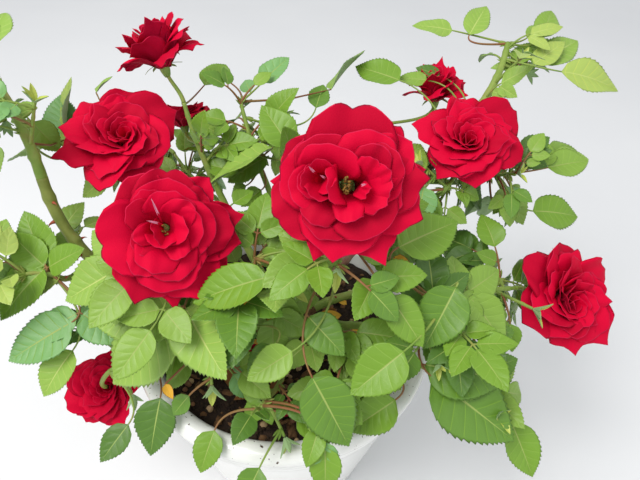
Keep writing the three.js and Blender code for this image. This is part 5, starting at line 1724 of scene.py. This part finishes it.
def litter(generator, wall, ground):
    """Dry leaves and fallen petals on the soil."""
    leaves, petals = Skin(), Skin()
    draw = seeded(LITTER_SEED)
    uniform, normal = generator.uniform, generator.normal
    for number in range(FALLEN_LEAVES):
        base = ground(uniform(0, FULL_TURN), wall * uniform(0.3, 0.8)) + SKY * 2.4
        direction = unit(vec((normal(), normal(), 0.12)))
        length = uniform(12, 22)
        tip = base + direction * length
        if math.hypot(tip[0], tip[1]) > wall - 6:
            direction = unit(direction * (1, 1, 0) * -1 + vec((0, 0, 0.12)))
            tip = base + direction * length
        face = unit(vec((normal() * 0.25, normal() * 0.25, 1)))
        slots = [DRY] * 5 if number % 4 else [YELLOW] * 3 + [DRY] * 2
        shape = (0.3, 0.12, 0.6 * (draw() - 0.5), 0.07, draw() * 6)
        add_leaflet(leaves, Leaflet(base, tip, face, "litter"), slots, shape, 0.8)
    leaves.make("soil_dry_leaves", LEAF_MATERIALS, "soil", ("soil",))
    profile = leaning(0, 0, 13, math.radians(70), math.radians(105))
    for _ in range(FALLEN_PETALS):
        place = ground(uniform(0, FULL_TURN), wall * uniform(0.3, 0.75)) + SKY * 3.0
        bloom = {"middle": place, "radius": 14, "axis": SKY,
                 "right": vec((1, 0, 0)), "up": vec((0, 1, 0))}
        add_petal(petals, bloom, (0, 0), draw() * FULL_TURN, profile, 12, 0.5, 0.1, draw,
                  0.05, BACK)
    petals.make("soil_fallen_petals", PETALS, "soil", ("soil",))


pot_piece()
soil_pieces()


# ---- Floor, light and camera
def stage_floor():
    data = bpy.data.meshes.new("studio_floor")
    data.from_pydata([(-8, -8, 0), (8, -8, 0), (8, 8, 0), (-8, 8, 0)], [], [(0, 1, 2, 3)])
    floor = bpy.data.objects.new("studio_floor", data)
    bpy.context.scene.collection.objects.link(floor)
    made = Nodes("studio_floor_pale")
    patches = made.noise(3, 2)
    made.set(Base_Color=made.ramp(patches, {0.2: "e2e2e4", 0.8: "e8e8e9"}))
    made.rough(patches, 0.7, 0.85)
    data.materials.append(made.material)


def sky():
    made = bpy.data.worlds.new("studio_sky")
    bpy.context.scene.world = made
    made.use_nodes = True
    background = made.node_tree.nodes["Background"].inputs
    background["Color"].default_value = (0.95, 0.98, 1.0, 1)
    background["Strength"].default_value = 0.72


def matrix_of(right, up, back, place):
    return Matrix([[right[i], up[i], back[i], place[i]] for i in range(3)] + [[0, 0, 0, 1]])


def area_light(name, place, target, size, power, colour):
    data = bpy.data.lights.new(name, "AREA")
    data.shape = "SQUARE"
    data.size = size
    data.energy = power
    data.color = colour
    light = bpy.data.objects.new(name, data)
    bpy.context.scene.collection.objects.link(light)
    back = -unit(vec(target) - vec(place))
    side = square_to(vec((1, 0, 0)), back)
    light.matrix_world = matrix_of(side, np.cross(back, side), back, vec(place))


def photo_camera():
    """The photograph's camera: place, pitch and roll in the frame, and a lens in its pixels."""
    pitch, roll = math.radians(42), math.radians(2)
    lens_pixels, frame_pixels, sensor = 498, 640, 36
    forward = vec((0, math.cos(pitch), -math.sin(pitch)))
    level_up, level_right = vec((0, math.sin(pitch), math.cos(pitch))), vec((1, 0, 0))
    right = level_right * math.cos(roll) + level_up * math.sin(roll)
    up = -level_right * math.sin(roll) + level_up * math.cos(roll)
    data = bpy.data.cameras.new("photo_view")
    data.sensor_width = sensor
    data.lens = lens_pixels / frame_pixels * sensor
    data.clip_start = 0.01
    camera = bpy.data.objects.new("photo_view", data)
    bpy.context.scene.collection.objects.link(camera)
    camera.matrix_world = matrix_of(right, up, -forward, (0.0235, -0.231, 0.449))
    bpy.context.scene.camera = camera
    bpy.context.scene.view_settings.view_transform = "Standard"


stage_floor()
sky()
area_light("key_soft", (-0.7, -0.5, 1.6), (0, 0, 0.25), 0.9, 22, (1.0, 0.985, 0.96))
area_light("fill_soft", (1.2, -0.9, 1.1), (0, 0, 0.25), 1.4, 4, (0.95, 0.98, 1.0))
photo_camera()
